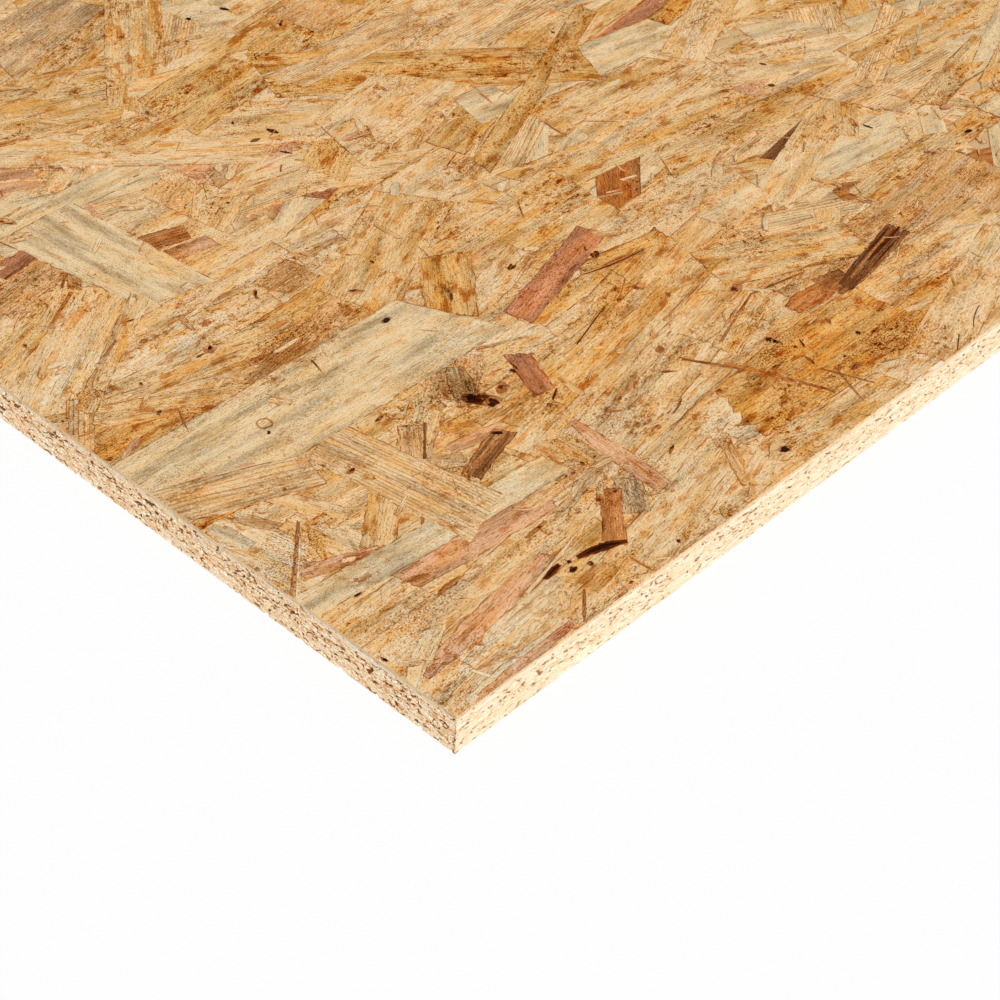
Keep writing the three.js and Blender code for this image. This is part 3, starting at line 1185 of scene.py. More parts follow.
def lay_mat(name, sizes, seed, per_square_metre, depths, outline_points, top=True, reach=mat_high):
    """One mat of strands on a face of the sheet, sawn to the sheet's size."""
    piece = flat_patch(name, mat_low, reach)
    sizes = {**sizes, "Per square metre": per_square_metre, "Seed": seed}
    sizes["Shallowest"], sizes["Deepest"] = (depth * MM for depth in depths)
    sizes["Sunk at corner"] = SUNK if top and reach == mat_high else 0.0
    grow(piece, scatter_tree, sizes)
    rimmed = outline_points > FEWEST_OUTLINE
    mesh = lay_strands(piece, outline_points, rimmed, top, pressed_strands)
    inset = 0.0 if top else BOTTOM_INSET
    saw(mesh, (X_LOW + inset, Y_LOW + inset, None), (X_HIGH - inset, Y_HIGH - inset, None))
    map_strands(mesh)
    print(name, len(mesh.polygons), "faces")
    return piece


print("a mat is laid on", round(mat_high[0] - mat_low[0], 2), "m and then sawn")

# %% The mats on the faces
# Lowest first. A row gives the name, the kind of strand, the seed, how many there are on a
# square metre, how many millimetres under the face the highest and the lowest one lie, and
# the points of an outline.
TOP_MATS = (
    ("top_strands_lower", STRANDS, 11, 800.0, (0.32, 0.46), 8),
    ("top_strands_middle", STRANDS, 12, 650.0, (0.18, 0.32), 8),
    ("top_strands_upper", STRANDS, 13, 550.0, (0.04, 0.18), 16),
    ("top_slivers", SLIVERS, 14, 700.0, (0.01, 0.04), 8),
    ("top_bark_bits", BARK_BITS, 15, 350.0, (0.01, 0.04), 8),
)
CORNER_MATS = (
    ("corner_shards", SHARDS, 17, 700.0, (0.02, 0.10), 12),
    ("corner_fibres", LOOSE_FIBRES, 16, 3000.0, (0.01, 0.03), 12),
)
BOTTOM_MATS = (
    ("bottom_strands_lower", STRANDS, 21, 750.0, (0.25, 0.40), 8),
    ("bottom_strands_upper", STRANDS, 22, 650.0, (0.02, 0.25), 8),
)
CORNER_SHARE = 1.5  # how far the corner's mats go on, in reaches of the listed strands
corner_reach = tuple(
    low + reach * CORNER_SHARE for low, reach in zip((X_LOW, Y_LOW), HAND_LAID_REACH)
)
mats = [lay_mat(*row) for row in TOP_MATS]
mats += [lay_mat(*row, reach=corner_reach) for row in CORNER_MATS]
mats += [lay_mat(*row, top=False) for row in BOTTOM_MATS]

# %% [markdown]
# ## The strands at the near corner
#
# A scattered mat never gives the strands of one certain board. At the near corner they
# are laid one by one, as a forming machine drops them: a bed of wide ones first, and the
# strands that lie in full view last. A row names the wood, the width and the two ends of
# the middle line, which is enough for the strand tree.

# %% Strands laid one by one
# Bottom strand first. Each row gives the wood, the width, the two ends of the middle line
# in millimetres from the near corner, along the long and the short edge, and any special
# form.
HAND_LAID = (
    # the bed
    ("honey", 40, (-20, 12), (200, 28)),
    ("honey", 40, (-20, 55), (150, 62)),
    ("honey", 40, (-20, 95), (130, 93)),
    ("straw", 44, (-20, 130), (130, 128)),
    ("straw", 44, (-20, 170), (130, 172)),
    ("honey", 44, (-20, 205), (150, 200)),
    ("straw", 50, (-20, 245), (150, 245)),
    ("straw", 50, (-10, 290), (130, 292)),
    ("straw", 46, (110, 16), (300, 26)),
    ("straw", 46, (290, 16), (430, 36)),
    ("straw", 46, (120, 58), (290, 66)),
    ("tan", 46, (270, 60), (420, 74)),
    ("honey", 48, (110, 98), (300, 104)),
    ("straw", 46, (110, 140), (330, 146)),
    ("honey", 46, (100, 185), (270, 188)),
    ("straw", 50, (90, 226), (240, 230)),
    # the far left
    ("straw", 30, (-20, 262), (60, 300)),
    ("straw", 40, (-12, 232), (66, 284)),
    ("tan", 20, (28, 297), (70, 305)),
    ("brick", 11, (42, 315), (68, 318)),
    ("bark", 1.6, (44, 310.5), (63, 314)),
    ("tan", 6, (60, 284), (70, 299)),
    ("brown", 1.5, (57, 289), (68, 299)),
    ("russet", 1.8, (39, 273), (59, 284.5)),
    ("honey", 16, (-6, 262), (36, 276), {"lens": 0.4}),
    ("rose", 9, (98, 277), (126, 272)),
    ("brown", 12, (97, 291), (122, 284)),
    ("straw", 13, (64, 245), (144, 248)),
    ("cream", 34, (90, 251), (79, 336), {"taper": -0.2, "cut_back": 0.3}),
    # left of the middle
    ("amber", 22, (-10, 195), (80, 190)),
    ("amber", 16, (92, 208), (146, 212)),
    ("honey", 20, (18, 219), (112, 206), {"lens": 0.3}),
    ("straw", 9, (20, 213), (93, 187), {"lens": 0.4}),
    ("honey", 15, (-8, 226), (80, 176), {"lens": 0.3}),
    ("ringed", 11, (-6, 197), (17, 227)),
    ("straw", 21, (42, 227), (118, 226.5), {"lens": 0.15}),
    ("honey", 9, (12, 218.5), (78, 263)),
    ("honey", 36, (136, 199), (212, 236)),
    ("tan", 15, (73, 184), (137, 200)),
    ("tan", 19, (118.5, 228), (141, 231)),
    ("straw", 10, (139, 226), (157, 227)),
    ("straw", 12, (140, 237), (168, 236)),
    # the middle, left of the ringed strand
    ("straw", 27, (4, 136), (18, 84)),
    ("straw", 6, (12, 132), (27, 108), {"lens": 0.5}),
    ("cream", 9, (3, 134), (8, 114), {"lens": 0.4}),
    ("straw", 17, (29, 118), (36, 84)),
    ("straw", 14, (36, 108), (62, 106)),
    ("honey", 18, (37, 121), (61, 121)),
    ("straw", 9, (31, 133), (46, 101), {"lens": 0.2}),
    ("honey", 5, (29, 108), (41, 108)),
    ("honey", 14, (40, 81), (67, 104)),
    ("rose", 9, (9, 92), (42, 80.5), {"taper": 0.5}),
    ("brick", 4.5, (24, 86), (42, 79.5), {"lens": 0.5}),
    ("brown", 1.4, (58.5, 76.5), (66.5, 84)),
    ("honey", 5, (22, 90), (30, 108), {"lens": 0.6}),
    ("honey", 21, (-8, 147), (56, 137.5)),
    ("tan", 6, (1, 160), (26, 151), {"lens": 0.5}),
    ("brown", 3, (22, 151.3), (41, 150), {"lens": 0.5}),
    # between the ringed strand and the dark flake
    ("honey", 21, (77, 132), (120, 133)),
    ("honey", 15, (80, 106), (112, 128)),
    ("tan", 11, (80.5, 103), (100, 124.5)),
    ("bark", 1.4, (88, 105), (104.5, 121.5)),
    ("ash", 9, (89, 102), (101, 94)),
    ("straw", 22, (118, 80), (240, 108)),
    ("honey", 18, (128, 92), (264, 122)),
    ("straw", 16, (150, 72), (270, 100)),
    ("straw", 16, (186, 115), (292, 133)),
    ("amber", 10, (104, 113), (152, 104), {"lens": 0.5}),
    ("honey", 9, (118, 106), (214, 118), {"lens": 0.5}),
    ("rose", 8, (98, 103), (125, 99), {"lens": 0.4}),
    # the lower left
    ("straw", 30, (-8, 8), (64, 18)),
    ("straw", 18, (-8, 56), (43, 57.5)),
    ("straw", 14, (20, 14), (78, 20)),
    ("straw", 17, (-8, 38.5), (134, 46)),
    ("straw", 10, (36, 54), (58, 53), {"lens": 0.3}),
    ("brown", 3.4, (39, 48.5), (52, 49), {"lens": 0.6}),
    ("rose", 14, (34, 62), (108, 56.5)),
    ("brown", 3.6, (34.5, 61.5), (45, 57.5), {"lens": 0.6}),
    ("rose", 10, (5, 22), (84, 35), {"lens": 0.45}),
    ("cream", 8, (-2, 22), (35, 41), {"lens": 0.4}),
    ("cream", 0.9, (-2, 18), (30, 39)),
    ("brown", 2, (83.5, 46.5), (96.5, 48), {"lens": 0.3}),
    ("straw", 13, (62, 6), (114, 11), {"lens": 0.2}),
    ("amber", 4, (80, 8.5), (106, 14.5), {"lens": 0.4}),
    ("brown", 1.8, (66, 0.5), (79, 12.5), {"lens": 0.5}),
    ("straw", 4.5, (66, 9), (73, 18), {"lens": 0.3}),
    ("tan", 4.4, (6, 8), (35, 10.5), {"lens": 0.3}),
    ("tan", 4, (30, 9), (40, 8)),
    ("cream", 5.6, (7, 2.8), (58, 5.2), {"lens": 0.5}),
    ("rose", 5, (12, 0.6), (64, 3.4), {"lens": 0.3}),
    ("brick", 4.2, (50, 3.2), (63.5, 3.4), {"lens": 0.3}),
    ("cream", 1.3, (20, 12.4), (22.4, 5.4)),
    # right of the middle
    ("straw", 20, (146, 60), (224, 80)),
    ("straw", 18, (146, 39), (222, 50)),
    ("honey", 17, (132, 80), (132, 58)),
    ("ash", 6, (123, 66), (131, 61), {"lens": 0.3}),
    ("tan", 6.6, (96, 58), (142, 55.8)),
    ("ash", 3.4, (106, 53.6), (139, 54.5), {"lens": 0.4}),
    ("ash", 4, (100, 48), (142, 53)),
    ("ash", 4.6, (108, 46), (128, 45)),
    ("straw", 6, (110, 43.5), (142, 52)),
    ("straw", 2.6, (92, 32.5), (113, 39)),
    ("straw", 1.6, (62, 25.6), (142, 47.2), {"bow": -0.8}),
    ("straw", 22, (97, 8), (186, 28)),
    ("ash", 12, (123.5, 26.5), (137, 43.5)),
    ("russet", 9, (105, 20.5), (128, 44)),
    ("rose", 12.6, (143, 28.5), (146.5, 83), {"taper": 0.5, "lens": 0.35}),
    ("cream", 14.5, (-8, 77.5), (124.5, 68)),
    ("ringed", 25, (68, 143), (81, 64), {"taper": -0.2}),
    ("tan", 6.5, (167, 6), (182, 33)),
    ("straw", 6, (167, 8.5), (188, 17), {"lens": 0.4}),
    ("cream", 5, (184, 26.5), (204, 23.5)),
    ("ash", 2.6, (182, 26.5), (197, 24), {"lens": 0.5}),
    # the far right
    ("honey", 18, (194, 10), (262, 6)),
    ("amber", 42, (192, 38), (340, 38), {"lens": 0.2, "split": 9}),
    ("honey", 13, (224, 68), (266, 82)),
    ("straw", 26, (298, 50), (390, 50)),
    ("straw", 24, (284, 6), (384, 36)),
    ("russet", 12, (266, 66.5), (294, 66), {"lens": 0.4}),
    ("brown", 12, (288, 68), (304, 65)),
    ("honey", 28, (262, 110), (330, 80)),
    ("brown", 5, (290, 59), (334, 64.5), {"lens": 0.5}),
    ("bark", 13, (350, 71.5), (293, 60.2), {"taper": 0.35, "lens": 0.15, "split": 5}),
    ("brown", 3.2, (338, 71), (302, 62.5), {"lens": 0.5}),
    ("brown", 2.4, (345, 66), (302, 58), {"lens": 0.5}),
    ("burnt", 2.2, (349, 71.5), (318, 65.5), {"lens": 0.6}),
    ("burnt", 1.4, (345, 74.5), (322, 69.5), {"lens": 0.6}),
    ("burnt", 1.2, (340, 66.5), (316, 61.5), {"lens": 0.6}),
    ("brown", 1.3, (228, 73), (263, 85.5)),
    ("brown", 1.2, (262, 85.5), (292, 79.5)),
    ("russet", 1.6, (208, 77), (221, 55)),
    ("russet", 1.9, (218.5, 63), (237, 19.5)),
    ("brown", 1.1, (244, 33.5), (253, 11.5)),
    ("brown", 1.2, (249.5, 30), (240, 7.5)),
    ("burnt", 0.6, (295, 0.8), (304.5, 6.8)),
    ("burnt", 0.5, (313, 5.4), (327, 12.6), {"bow": 0.8}),
    ("cream", 0.9, (195, 17.5), (217, 7.5)),
    ("honey", 13, (184, 11), (202, 11.5), {"lens": 0.9}),
    # the upper middle
    ("straw", 13, (142, 131), (184, 127)),
    ("tan", 22, (121, 123.5), (146, 144.5)),
    ("ash", 11, (124.5, 118), (138, 138.5), {"lens": 0.3}),
    ("tan", 1.8, (152, 140), (174, 131)),
    ("straw", 16, (176, 163), (216, 174)),
    ("rose", 3, (186, 183.6), (208, 186.5)),
    ("tan", 3.2, (154, 186.5), (177, 198.5)),
    ("amber", 23, (161, 163), (190, 196)),
    ("cream", 46, (-8, 163.5), (163, 163.5), {"cut_tip": -0.45, "cut_back": 0.0}),
    ("ringed", 22, (-14, 159), (55, 130.5), {"lens": 0.1}),
    ("honey", 12, (180, 136), (228, 140)),
    ("honey", 14, (205, 125), (270, 139)),
    ("amber", 8, (221, 149), (264, 141)),
    ("brick", 14.2, (178.9, 142.6), (250, 164)),
    ("tan", 2.2, (220.5, 145), (255, 138.5), {"bow": -1.0}),
    ("burnt", 0.9, (222, 144.2), (254, 138.6), {"bow": -1.0, "lens": 0.4}),
    ("amber", 2.4, (222, 98.5), (272, 111)),
    ("brown", 0.7, (222, 99), (244, 104)),
    ("burnt", 0.5, (184, 113.4), (211.2, 122.7)),
    ("brown", 0.5, (232.6, 138.7), (232.3, 129.9)),
    ("brown", 0.6, (232.3, 129.9), (220.4, 122.5)),
    ("brown", 9.4, (94, 86), (124, 96)),
    ("bark", 2.4, (95, 85), (123.5, 93), {"lens": 0.5}),
    ("bark", 1.6, (100, 91), (122, 98), {"lens": 0.5}),
    ("tan", 0.7, (97, 89), (119, 95)),
    ("brick", 10.8, (151.5, 100.5), (162, 127)),
    ("burnt", 4.6, (89, 26), (110.5, 18.4), {"lens": 0.6, "bow": 1.0}),
    ("pitch", 2.4, (93, 24.8), (107.5, 19.8), {"lens": 0.7, "bow": 0.8}),
    ("burnt", 3.2, (72, 26), (82.5, 28), {"lens": 0.4}),
    ("pitch", 1.2, (74, 26.4), (81.5, 27.6), {"lens": 0.5}),
    ("brown", 1.3, (-2, 82.5), (29.5, 113)),
    ("straw", 0.8, (-1, 81), (28, 110)),
    ("brown", 1.2, (40.5, 241), (51, 246)),
    ("tan", 1.0, (14, 219.5), (34, 236)),
)
# The middle, length, width and turn in degrees of each bit of bark and dark or broken wood.
BITS = {
    "brick": (
        (73, 215.6, 6, 4, 0),
    ),
    "russet": (
        (84, 229.5, 5.5, 3.4, 0), (142.3, 115.5, 6, 4.6, 0), (162.3, 74.2, 6, 0.9, -40),
        (104, 8, 11, 0.9, 95),
    ),
    "brown": (
        (206, 87, 4, 3.4, 40), (59, 238.2, 4, 2.4, -20), (38, 190, 12, 0.6, 65),
    ),
    "amber": (
        (66, 113, 3, 5, 0),
    ),
    "cream": (
        (160, 185, 7, 3, 25),
    ),
    "burnt": (
        (91, 20, 2.5, 2, 0), (127.7, 41, 2.6, 1.6, 10), (130.5, 61, 2.2, 2, 0),
        (137, 60.3, 1.7, 1.3, 0), (123.5, 5, 2.2, 1.5, 40), (162, 42.3, 5, 1.2, 30),
        (197.3, 75.3, 6, 1.2, -35), (203, 53, 2.5, 1.8, 30), (248, 49, 2.6, 1.3, 80),
        (252, 49, 4.5, 0.9, 65), (232, 46.6, 6.5, 1.1, 0), (245.5, 39.3, 5.5, 1.4, 78),
        (271.5, 51, 4.5, 1.8, 80), (256.5, 23.8, 6, 3, 5), (268.3, 24.8, 1.5, 1.3, 0),
        (275, 26, 2.4, 1.4, 40), (258, 31.2, 2, 1.4, 45), (142.3, 115.5, 3.6, 2.6, 0),
        (152.5, 119, 4, 1.8, 100), (63.5, 120.3, 4.6, 2, 0), (69, 214.8, 4, 0.9, 0),
        (40, 217, 2, 1.4, 80), (112.7, 230.5, 5, 1.3, 55), (163, 213, 2.2, 1.1, 70),
        (144, 203, 6, 1.6, -35), (1.5, 189.7, 3, 2, 0), (33.5, 198.7, 3, 1.6, 0),
        (22.2, 268.8, 2.6, 1.8, 60), (231, 123, 2.6, 3, 20), (237, 109.6, 3, 1.3, 80),
        (260, 92, 3.4, 3, 20), (236, 150.3, 4.6, 4, 0), (236.2, 156, 4, 1.6, 50),
        (203, 169.5, 5, 2.2, 20), (93, 135.5, 5, 1.8, 10), (37.6, 130, 2, 1.2, 0),
        (170.5, 174, 7, 2, 50), (147, 94, 3, 2, 30), (154, 97.5, 6, 1.2, 30),
        (98, 178, 8, 0.8, 75), (94, 2.6, 2, 1.2, -20),
    ),
    "pitch": (
        (84, 22.5, 3.4, 2.4, 20), (85.5, 26, 1.8, 1.8, 0), (1.5, 38, 3, 1.3, 100),
        (196.4, 32, 2.6, 1, 70), (244, 60, 3, 2.6, 70), (244.6, 57, 4, 2, 100),
        (274.5, 36.8, 2.4, 2, 0), (194, 11, 5.4, 3.4, -30), (129.4, 115.6, 13.5, 5, -60),
        (127.4, 119.6, 5.5, 5, -20), (132.2, 111.2, 6, 4.6, -85), (130.8, 116, 6, 4, 10),
        (155, 120.5, 3.4, 1.2, 75), (56, 159.2, 1.7, 1.5, 0), (74.4, 215.2, 3.4, 1.8, 45),
        (140, 179.6, 5.6, 2.6, 0), (63, 252, 3.6, 1.2, -20), (18, 68.3, 3, 1, 0),
        (120, 97, 4, 2, -50),
    ),
}
print("strands in the table:", len(HAND_LAID))

# %% From a row to a strand
GOLDEN = 0.618034  # steps of this spread the seeds of strands laid in a row
DEEPEST_SPLIT = 1.6 * MM
SPLIT_OF_WIDTH, SPLIT_OF_LENGTH = 0.3, 0.2  # and the most as shares of the strand's size
END_SLOPE = 0.3  # how far the ends of these strands are out of square at most
HAND_SEED = 7
HAND_OUTLINE, HAND_DEPTHS = 64, (0.04 * MM, 0.44 * MM)
chance = random.Random(HAND_SEED)


def by_hand(rows, shallowest, deepest):
    """Points that carry what each strand of a list needs, the first one deepest."""
    count = len(rows)
    facts = {name: [0.0] * count for name in (*STRAND_FACTS, *STRAND_FORMS)}
    centres = []
    for index, (wood, wide, start, tip, *form) in enumerate(rows):
        start, tip = on_sheet(*start), on_sheet(*tip)
        line = tip - start
        centres.append((start + tip) / 2)
        facts["long"][index] = line.length
        facts["wide"][index] = wide * WIDTH_SCALE * MM
        facts["turn"][index] = math.atan2(line.y, line.x)
        facts["depth"][index] = deepest + (shallowest - deepest) * index / count
        facts["wood"][index] = wood_number(wood)
        facts["seed"][index] = (index * GOLDEN) % 1
        facts["cut_back"][index] = chance.uniform(-END_SLOPE, END_SLOPE)
        facts["cut_tip"][index] = chance.uniform(-END_SLOPE, END_SLOPE)
        shares = (SPLIT_OF_WIDTH * wide * MM, SPLIT_OF_LENGTH * line.length)
        facts["split"][index] = min(DEEPEST_SPLIT, *shares)
        for name, value in (form[0] if form else {}).items():
            facts[name][index] = value * (MM if name in ("bow", "split") else 1)
    mesh = bpy.data.meshes.new("laid by hand")
    mesh.from_pydata(centres, [], [])
    for name, values in facts.items():
        mesh.attributes.new(name, "FLOAT", "POINT").data.foreach_set("value", values)
    return mesh


def hand_laid(name, rows, depths, outline_points, rimmed):
    """A piece of strands that are laid one by one and sawn to the sheet's size."""
    piece = link(name, by_hand(rows, *depths))
    mesh = lay_strands(piece, outline_points, rimmed, top=True, finish=corner_strands)
    saw(mesh, (X_LOW, Y_LOW, None), (X_HIGH, Y_HIGH, None))
    map_strands(mesh)
    print(name, len(rows), "strands,", len(mesh.polygons), "faces")
    return piece


corner = hand_laid("corner_strands", HAND_LAID, HAND_DEPTHS, HAND_OUTLINE, rimmed=True)

# %% [markdown]
# ## Bits of bark and dark wood
#
# Bark, pitch and broken knots end up in the mat as small dark bits with torn outlines. One
# strand would look too neat for such a bit, so each is a pile of a few short flakes that
# are turned and moved a little by a seeded random draw, on a larger flake that makes its
# rim, a brown one for burnt wood and pitch.

# %% Bits of bark and dark wood
FLAKES = 7  # overlapping flakes that make one bit ragged
MOTTLED = {"burnt": ("burnt", "burnt", "bark", "brown"), "pitch": ("pitch", "pitch", "burnt")}
RIM_SIZE = 1.2  # the first flake, in sizes of the bit
FLAKE_SIZES = (0.3, 0.9)  # and the others
LEAN = 0.8  # how far a flake is turned at most, in widths of the bit to its length
OFF_LONG, OFF_WIDE = 0.3, 0.35  # and how far it is moved, as shares of the bit's size
FLAKE_FORM = {"lens": 0.75}
BIT_OUTLINE, BIT_DEPTHS = 12, (0.0, 0.04 * MM)


def ragged_bit(wood, x, y, long, wide, degrees):
    """Rows for a bit at a known place: a fringe of torn wood and smaller flakes on it."""
    turn = Matrix.Rotation(math.radians(degrees), 2)
    rows = []
    for flake in range(FLAKES):
        is_rim = flake == 0
        share = RIM_SIZE if is_rim else chance.uniform(*FLAKE_SIZES)
        if is_rim and wood in MOTTLED:
            kind = "brown"
        else:
            kind = chance.choice(MOTTLED.get(wood, (wood,)))
        lean = Matrix.Rotation(chance.uniform(-LEAN, LEAN) * wide / long, 2)
        off_long = chance.uniform(-OFF_LONG, OFF_LONG) * long
        off_wide = chance.uniform(-OFF_WIDE, OFF_WIDE) * wide
        middle = Vector((x, y)) + turn @ Vector((off_long, off_wide))
        half = turn @ lean @ Vector((long * share / 2, 0))
        rows.append((kind, wide * share, middle - half, middle + half, FLAKE_FORM))
    return rows


bit_rows = [row for wood in BITS for place in BITS[wood] for row in ragged_bit(wood, *place)]
bits = hand_laid("corner_bits", bit_rows, BIT_DEPTHS, BIT_OUTLINE, rimmed=False)

# %% [markdown]
# ## The four sawn edges
#
# The edges show the board's section: compact faces, a looser middle, pits where strand
# ends have broken out, and a ragged lower arris. That is real relief, so each edge is a
# closed bar whose outer side is finely divided, and a shape tree pushes its points in by
# noise. Near the corner it is divided more finely, elsewhere coarser, which keeps the mesh
# small. The bars of neighbouring edges are mitred where they meet.

# %% Where the saw has cut across
LIP = 4 * MM  # how far the bar behind a sawn edge reaches in
EDGE_TOP = SHEET.z - THICKNESS  # the bar ends below the top strands
MIDDLE_HALF = (5.2 * MM, 6.4 * MM)  # from half way up to where the face layers start
UNDER_TOP = (5 * MM, 6 * MM)  # and to where the top layer's strands lie along the edge
STRAY = 3  # how many mm these limits stray up and down
SKIN = 0.5 * MM  # points of the bar that lie nearer than this are on the sawn side


class SawnFace:
    """The noises and sockets of the tree that roughens a sawn edge."""

    def __init__(self):
        sockets = ("Cut in faces", "Cut in middle", "Seed", "Half run")
        made = shape_tree("sawn_face", dict.fromkeys(sockets, FLOAT))
        self.group, self.tree, self.given = made
        place = self.tree.add("GeometryNodeInputPosition")
        self.run, self.inward, self.height = split(self.tree, place)

    def grains(self, length, width, layer, detail=1.0):
        """Noise along the edge: length and width, in mm, are its features' size."""
        run, height = self.run / (length * MM), self.height / (width * MM)
        where = joined(self.tree, run, height, self.given["Seed"] + layer)
        return noise(self.tree, where, detail)

    def stray(self, layer):
        """How far a limit between two layers strays here."""
        return (self.grains(length=40, width=20, layer=layer) - 0.5) * STRAY * MM

    def cut_across(self):
        """1 where the saw ran across the strands and 0 where it ran along them."""
        above_middle = self.height - SHEET.z / 2
        off_middle = above_middle.math("ABSOLUTE") + self.stray(1)
        in_face = off_middle.smooth(*MIDDLE_HALF)
        under_top = (above_middle + self.stray(8)).smooth(*UNDER_TOP)
        cut = self.given["Cut in faces"] * in_face
        cut = cut + self.given["Cut in middle"] * (1 - in_face)
        return cut * (1 - under_top * 0.7)


print("the middle layer is", round(2 * MIDDLE_HALF[0] / MM, 1), "mm high")

# %% Pits and a torn arris
ROUGH_DEPTH, LAYER_DEPTH, PIT_DEPTH = 0.3, 0.25, 1.3  # mm
TOP_CALM = 1.6 * MM  # the edge gets smooth over this height up to its top
END_CALM = 1.2 * MM  # and over this length to its ends
TORN_HEIGHT = 2.0 * MM  # how far up the torn arris reaches
TORN_DEPTH, TORN_LIFT = 0.6, 0.9  # mm, how far it is torn in and up
FACE_PLAY = 0.5  # the edge lies half a saw mark in, level with the strands' sawn sides


def build_sawn_tree():
    """The tree that pushes the points of an edge in, and stores what the finish reads."""
    face = SawnFace()
    tree, given, grains = face.tree, face.given, face.grains
    cut = face.cut_across()
    across, along = grains(length=14, width=0.9, layer=2), grains(length=45, width=0.8, layer=3)
    layer = across * cut + along * (1 - cut)
    rough = grains(length=1.6, width=0.9, layer=4, detail=2.0)
    gathered = grains(length=11, width=4, layer=9).smooth(0.40, 0.62)
    short_pit = grains(length=2.4, width=1.0, layer=5) + gathered * 0.06
    long_pit = grains(length=7, width=0.8, layer=6) + cut * 0.02
    pit = short_pit.smooth(0.63, 0.70) * cut.smooth(0.0, 0.5) + long_pit.smooth(0.66, 0.72) * 0.8

    between = layer.smooth(0.3, 0.7) * LAYER_DEPTH * MM * cut
    depth = rough * ROUGH_DEPTH * MM + between + pit * PIT_DEPTH * MM
    depth = depth * (EDGE_TOP - face.height).smooth(0.0, TOP_CALM) + SAW_MARK * FACE_PLAY
    torn = grains(length=3.4, width=50, layer=7, detail=3.0).smooth(0.54, 0.68)
    torn = torn * (cut * 0.7 + 0.3)
    low = face.height.smooth(TORN_HEIGHT, 0.0)
    depth = depth * (1 - low * 0.6) + low * torn * TORN_DEPTH * MM
    to_end = (given["Half run"] - face.run.math("ABSOLUTE")).smooth(0.0, END_CALM)
    outer = face.inward < SKIN
    lift = low * torn * TORN_LIFT * MM * outer

    facts = joined(tree, cut, pit, layer)
    shape = store(tree, given["Geometry"], "laid_open", facts, "FLOAT_VECTOR")
    inward = face.inward + depth * to_end * outer
    moved = {"Geometry": shape, "Position": joined(tree, face.run, inward, face.height + lift)}
    shape = tree.add("GeometryNodeSetPosition", {}, moved)
    tree.add("NodeGroupOutput", {}, {"Geometry": shape})
    return face.group


sawn_tree = build_sawn_tree()
print("sawn tree:", len(sawn_tree.nodes), "nodes, pits up to", PIT_DEPTH, "mm deep")

# %% The map of an edge
MAP_STRIPS = 10  # the strips that an edge is cut into on its map
HIDDEN_BACK = 1 * MM  # the room that its hidden back gets there
MAP_INSET = 0.02  # the share of a strip that is left free along each side


def inset_share(share):
    """A share of a strip's side, moved in from its rim."""
    return MAP_INSET + (1 - 2 * MAP_INSET) * share


def map_bar(mesh, columns, profile):
    """Gives a bar a map that it can be baked through: strips of its sides, stacked up."""
    heights = [z for _, z in profile[:-2]]
    unrolled = [*heights, heights[-1] + LIP, heights[-1] + LIP + HIDDEN_BACK]
    unrolled.append(unrolled[-1] + LIP)
    strip_run = (columns[-1] - columns[0]) / MAP_STRIPS
    places = []
    for x, next_x in zip(columns, columns[1:]):
        strip = int(((x + next_x) / 2 - columns[0]) / strip_run)
        start = columns[0] + strip * strip_run
        left, right = (inset_share((end - start) / strip_run) for end in (x, next_x))
        ups = [(strip + inset_share(up / unrolled[-1])) / MAP_STRIPS for up in unrolled]
        for low, high in zip(ups, ups[1:]):
            places += [left, low, right, low, right, high, left, high]
    places += [0.0] * (4 * len(profile))
    mesh.uv_layers.new(name=BAKE_MAP).uv.foreach_set("vector", places)


print("an edge is mapped in", MAP_STRIPS, "strips")

# %% The bar behind an edge
NEAR_RUN = 420 * MM  # the length at the near corner that is divided more finely
FINE_STEP, COARSE_STEP, ROW_STEP = 0.6 * MM, 1.8 * MM, 0.7 * MM


def steps(low, high, step):
    """Even places from low up to, but not with, high."""
    count = max(1, round((high - low) / step))
    return [low + (high - low) * i / count for i in range(count)]


def bar_columns(half_run, fine_end):
    """Where a bar is divided along its run; fine_end is its fine end's sign, or 0."""
    if fine_end:
        columns = steps(-half_run, -half_run + NEAR_RUN, FINE_STEP)
        columns += steps(-half_run + NEAR_RUN, half_run, COARSE_STEP) + [half_run]
    else:
        columns = steps(-half_run, half_run, COARSE_STEP) + [half_run]
    return [-x for x in reversed(columns)] if fine_end < 0 else columns


def edge_bar(name, half_run, fine_end):
    """A closed bar behind an edge, finely divided on its outer side."""
    columns = bar_columns(half_run, fine_end)
    rows = steps(0.0, EDGE_TOP, ROW_STEP) + [EDGE_TOP]
    profile = [(0.0, z) for z in rows] + [(LIP, EDGE_TOP), (LIP, 0.0)]
    count = len(profile)
    mitre = half_run - LIP
    points = [
        (max(-mitre, min(mitre, x)) if y else x, y, z) for x in columns for y, z in profile
    ]
    faces = []
    for start in range(0, (len(columns) - 1) * count, count):
        for j in range(count):
            above = (j + 1) % count
            faces.append((start + j, start + count + j, start + count + above, start + above))
    last = (len(columns) - 1) * count
    faces += [tuple(range(count)), tuple(last + j for j in reversed(range(count)))]
    mesh = bpy.data.meshes.new(name)
    mesh.from_pydata(points, [], faces)
    map_bar(mesh, columns, profile)
    return link(name, mesh)


print("the near edges are divided every", FINE_STEP / MM, "mm")

# %% The sawn edges
# how much the saw cuts across strands, in the face layers and in the middle
CUT_ON_LONG_EDGE, CUT_ON_SHORT_EDGE = (0.1, 0.45), (0.9, 1.0)
EDGE_SEED_STEP = 10.0


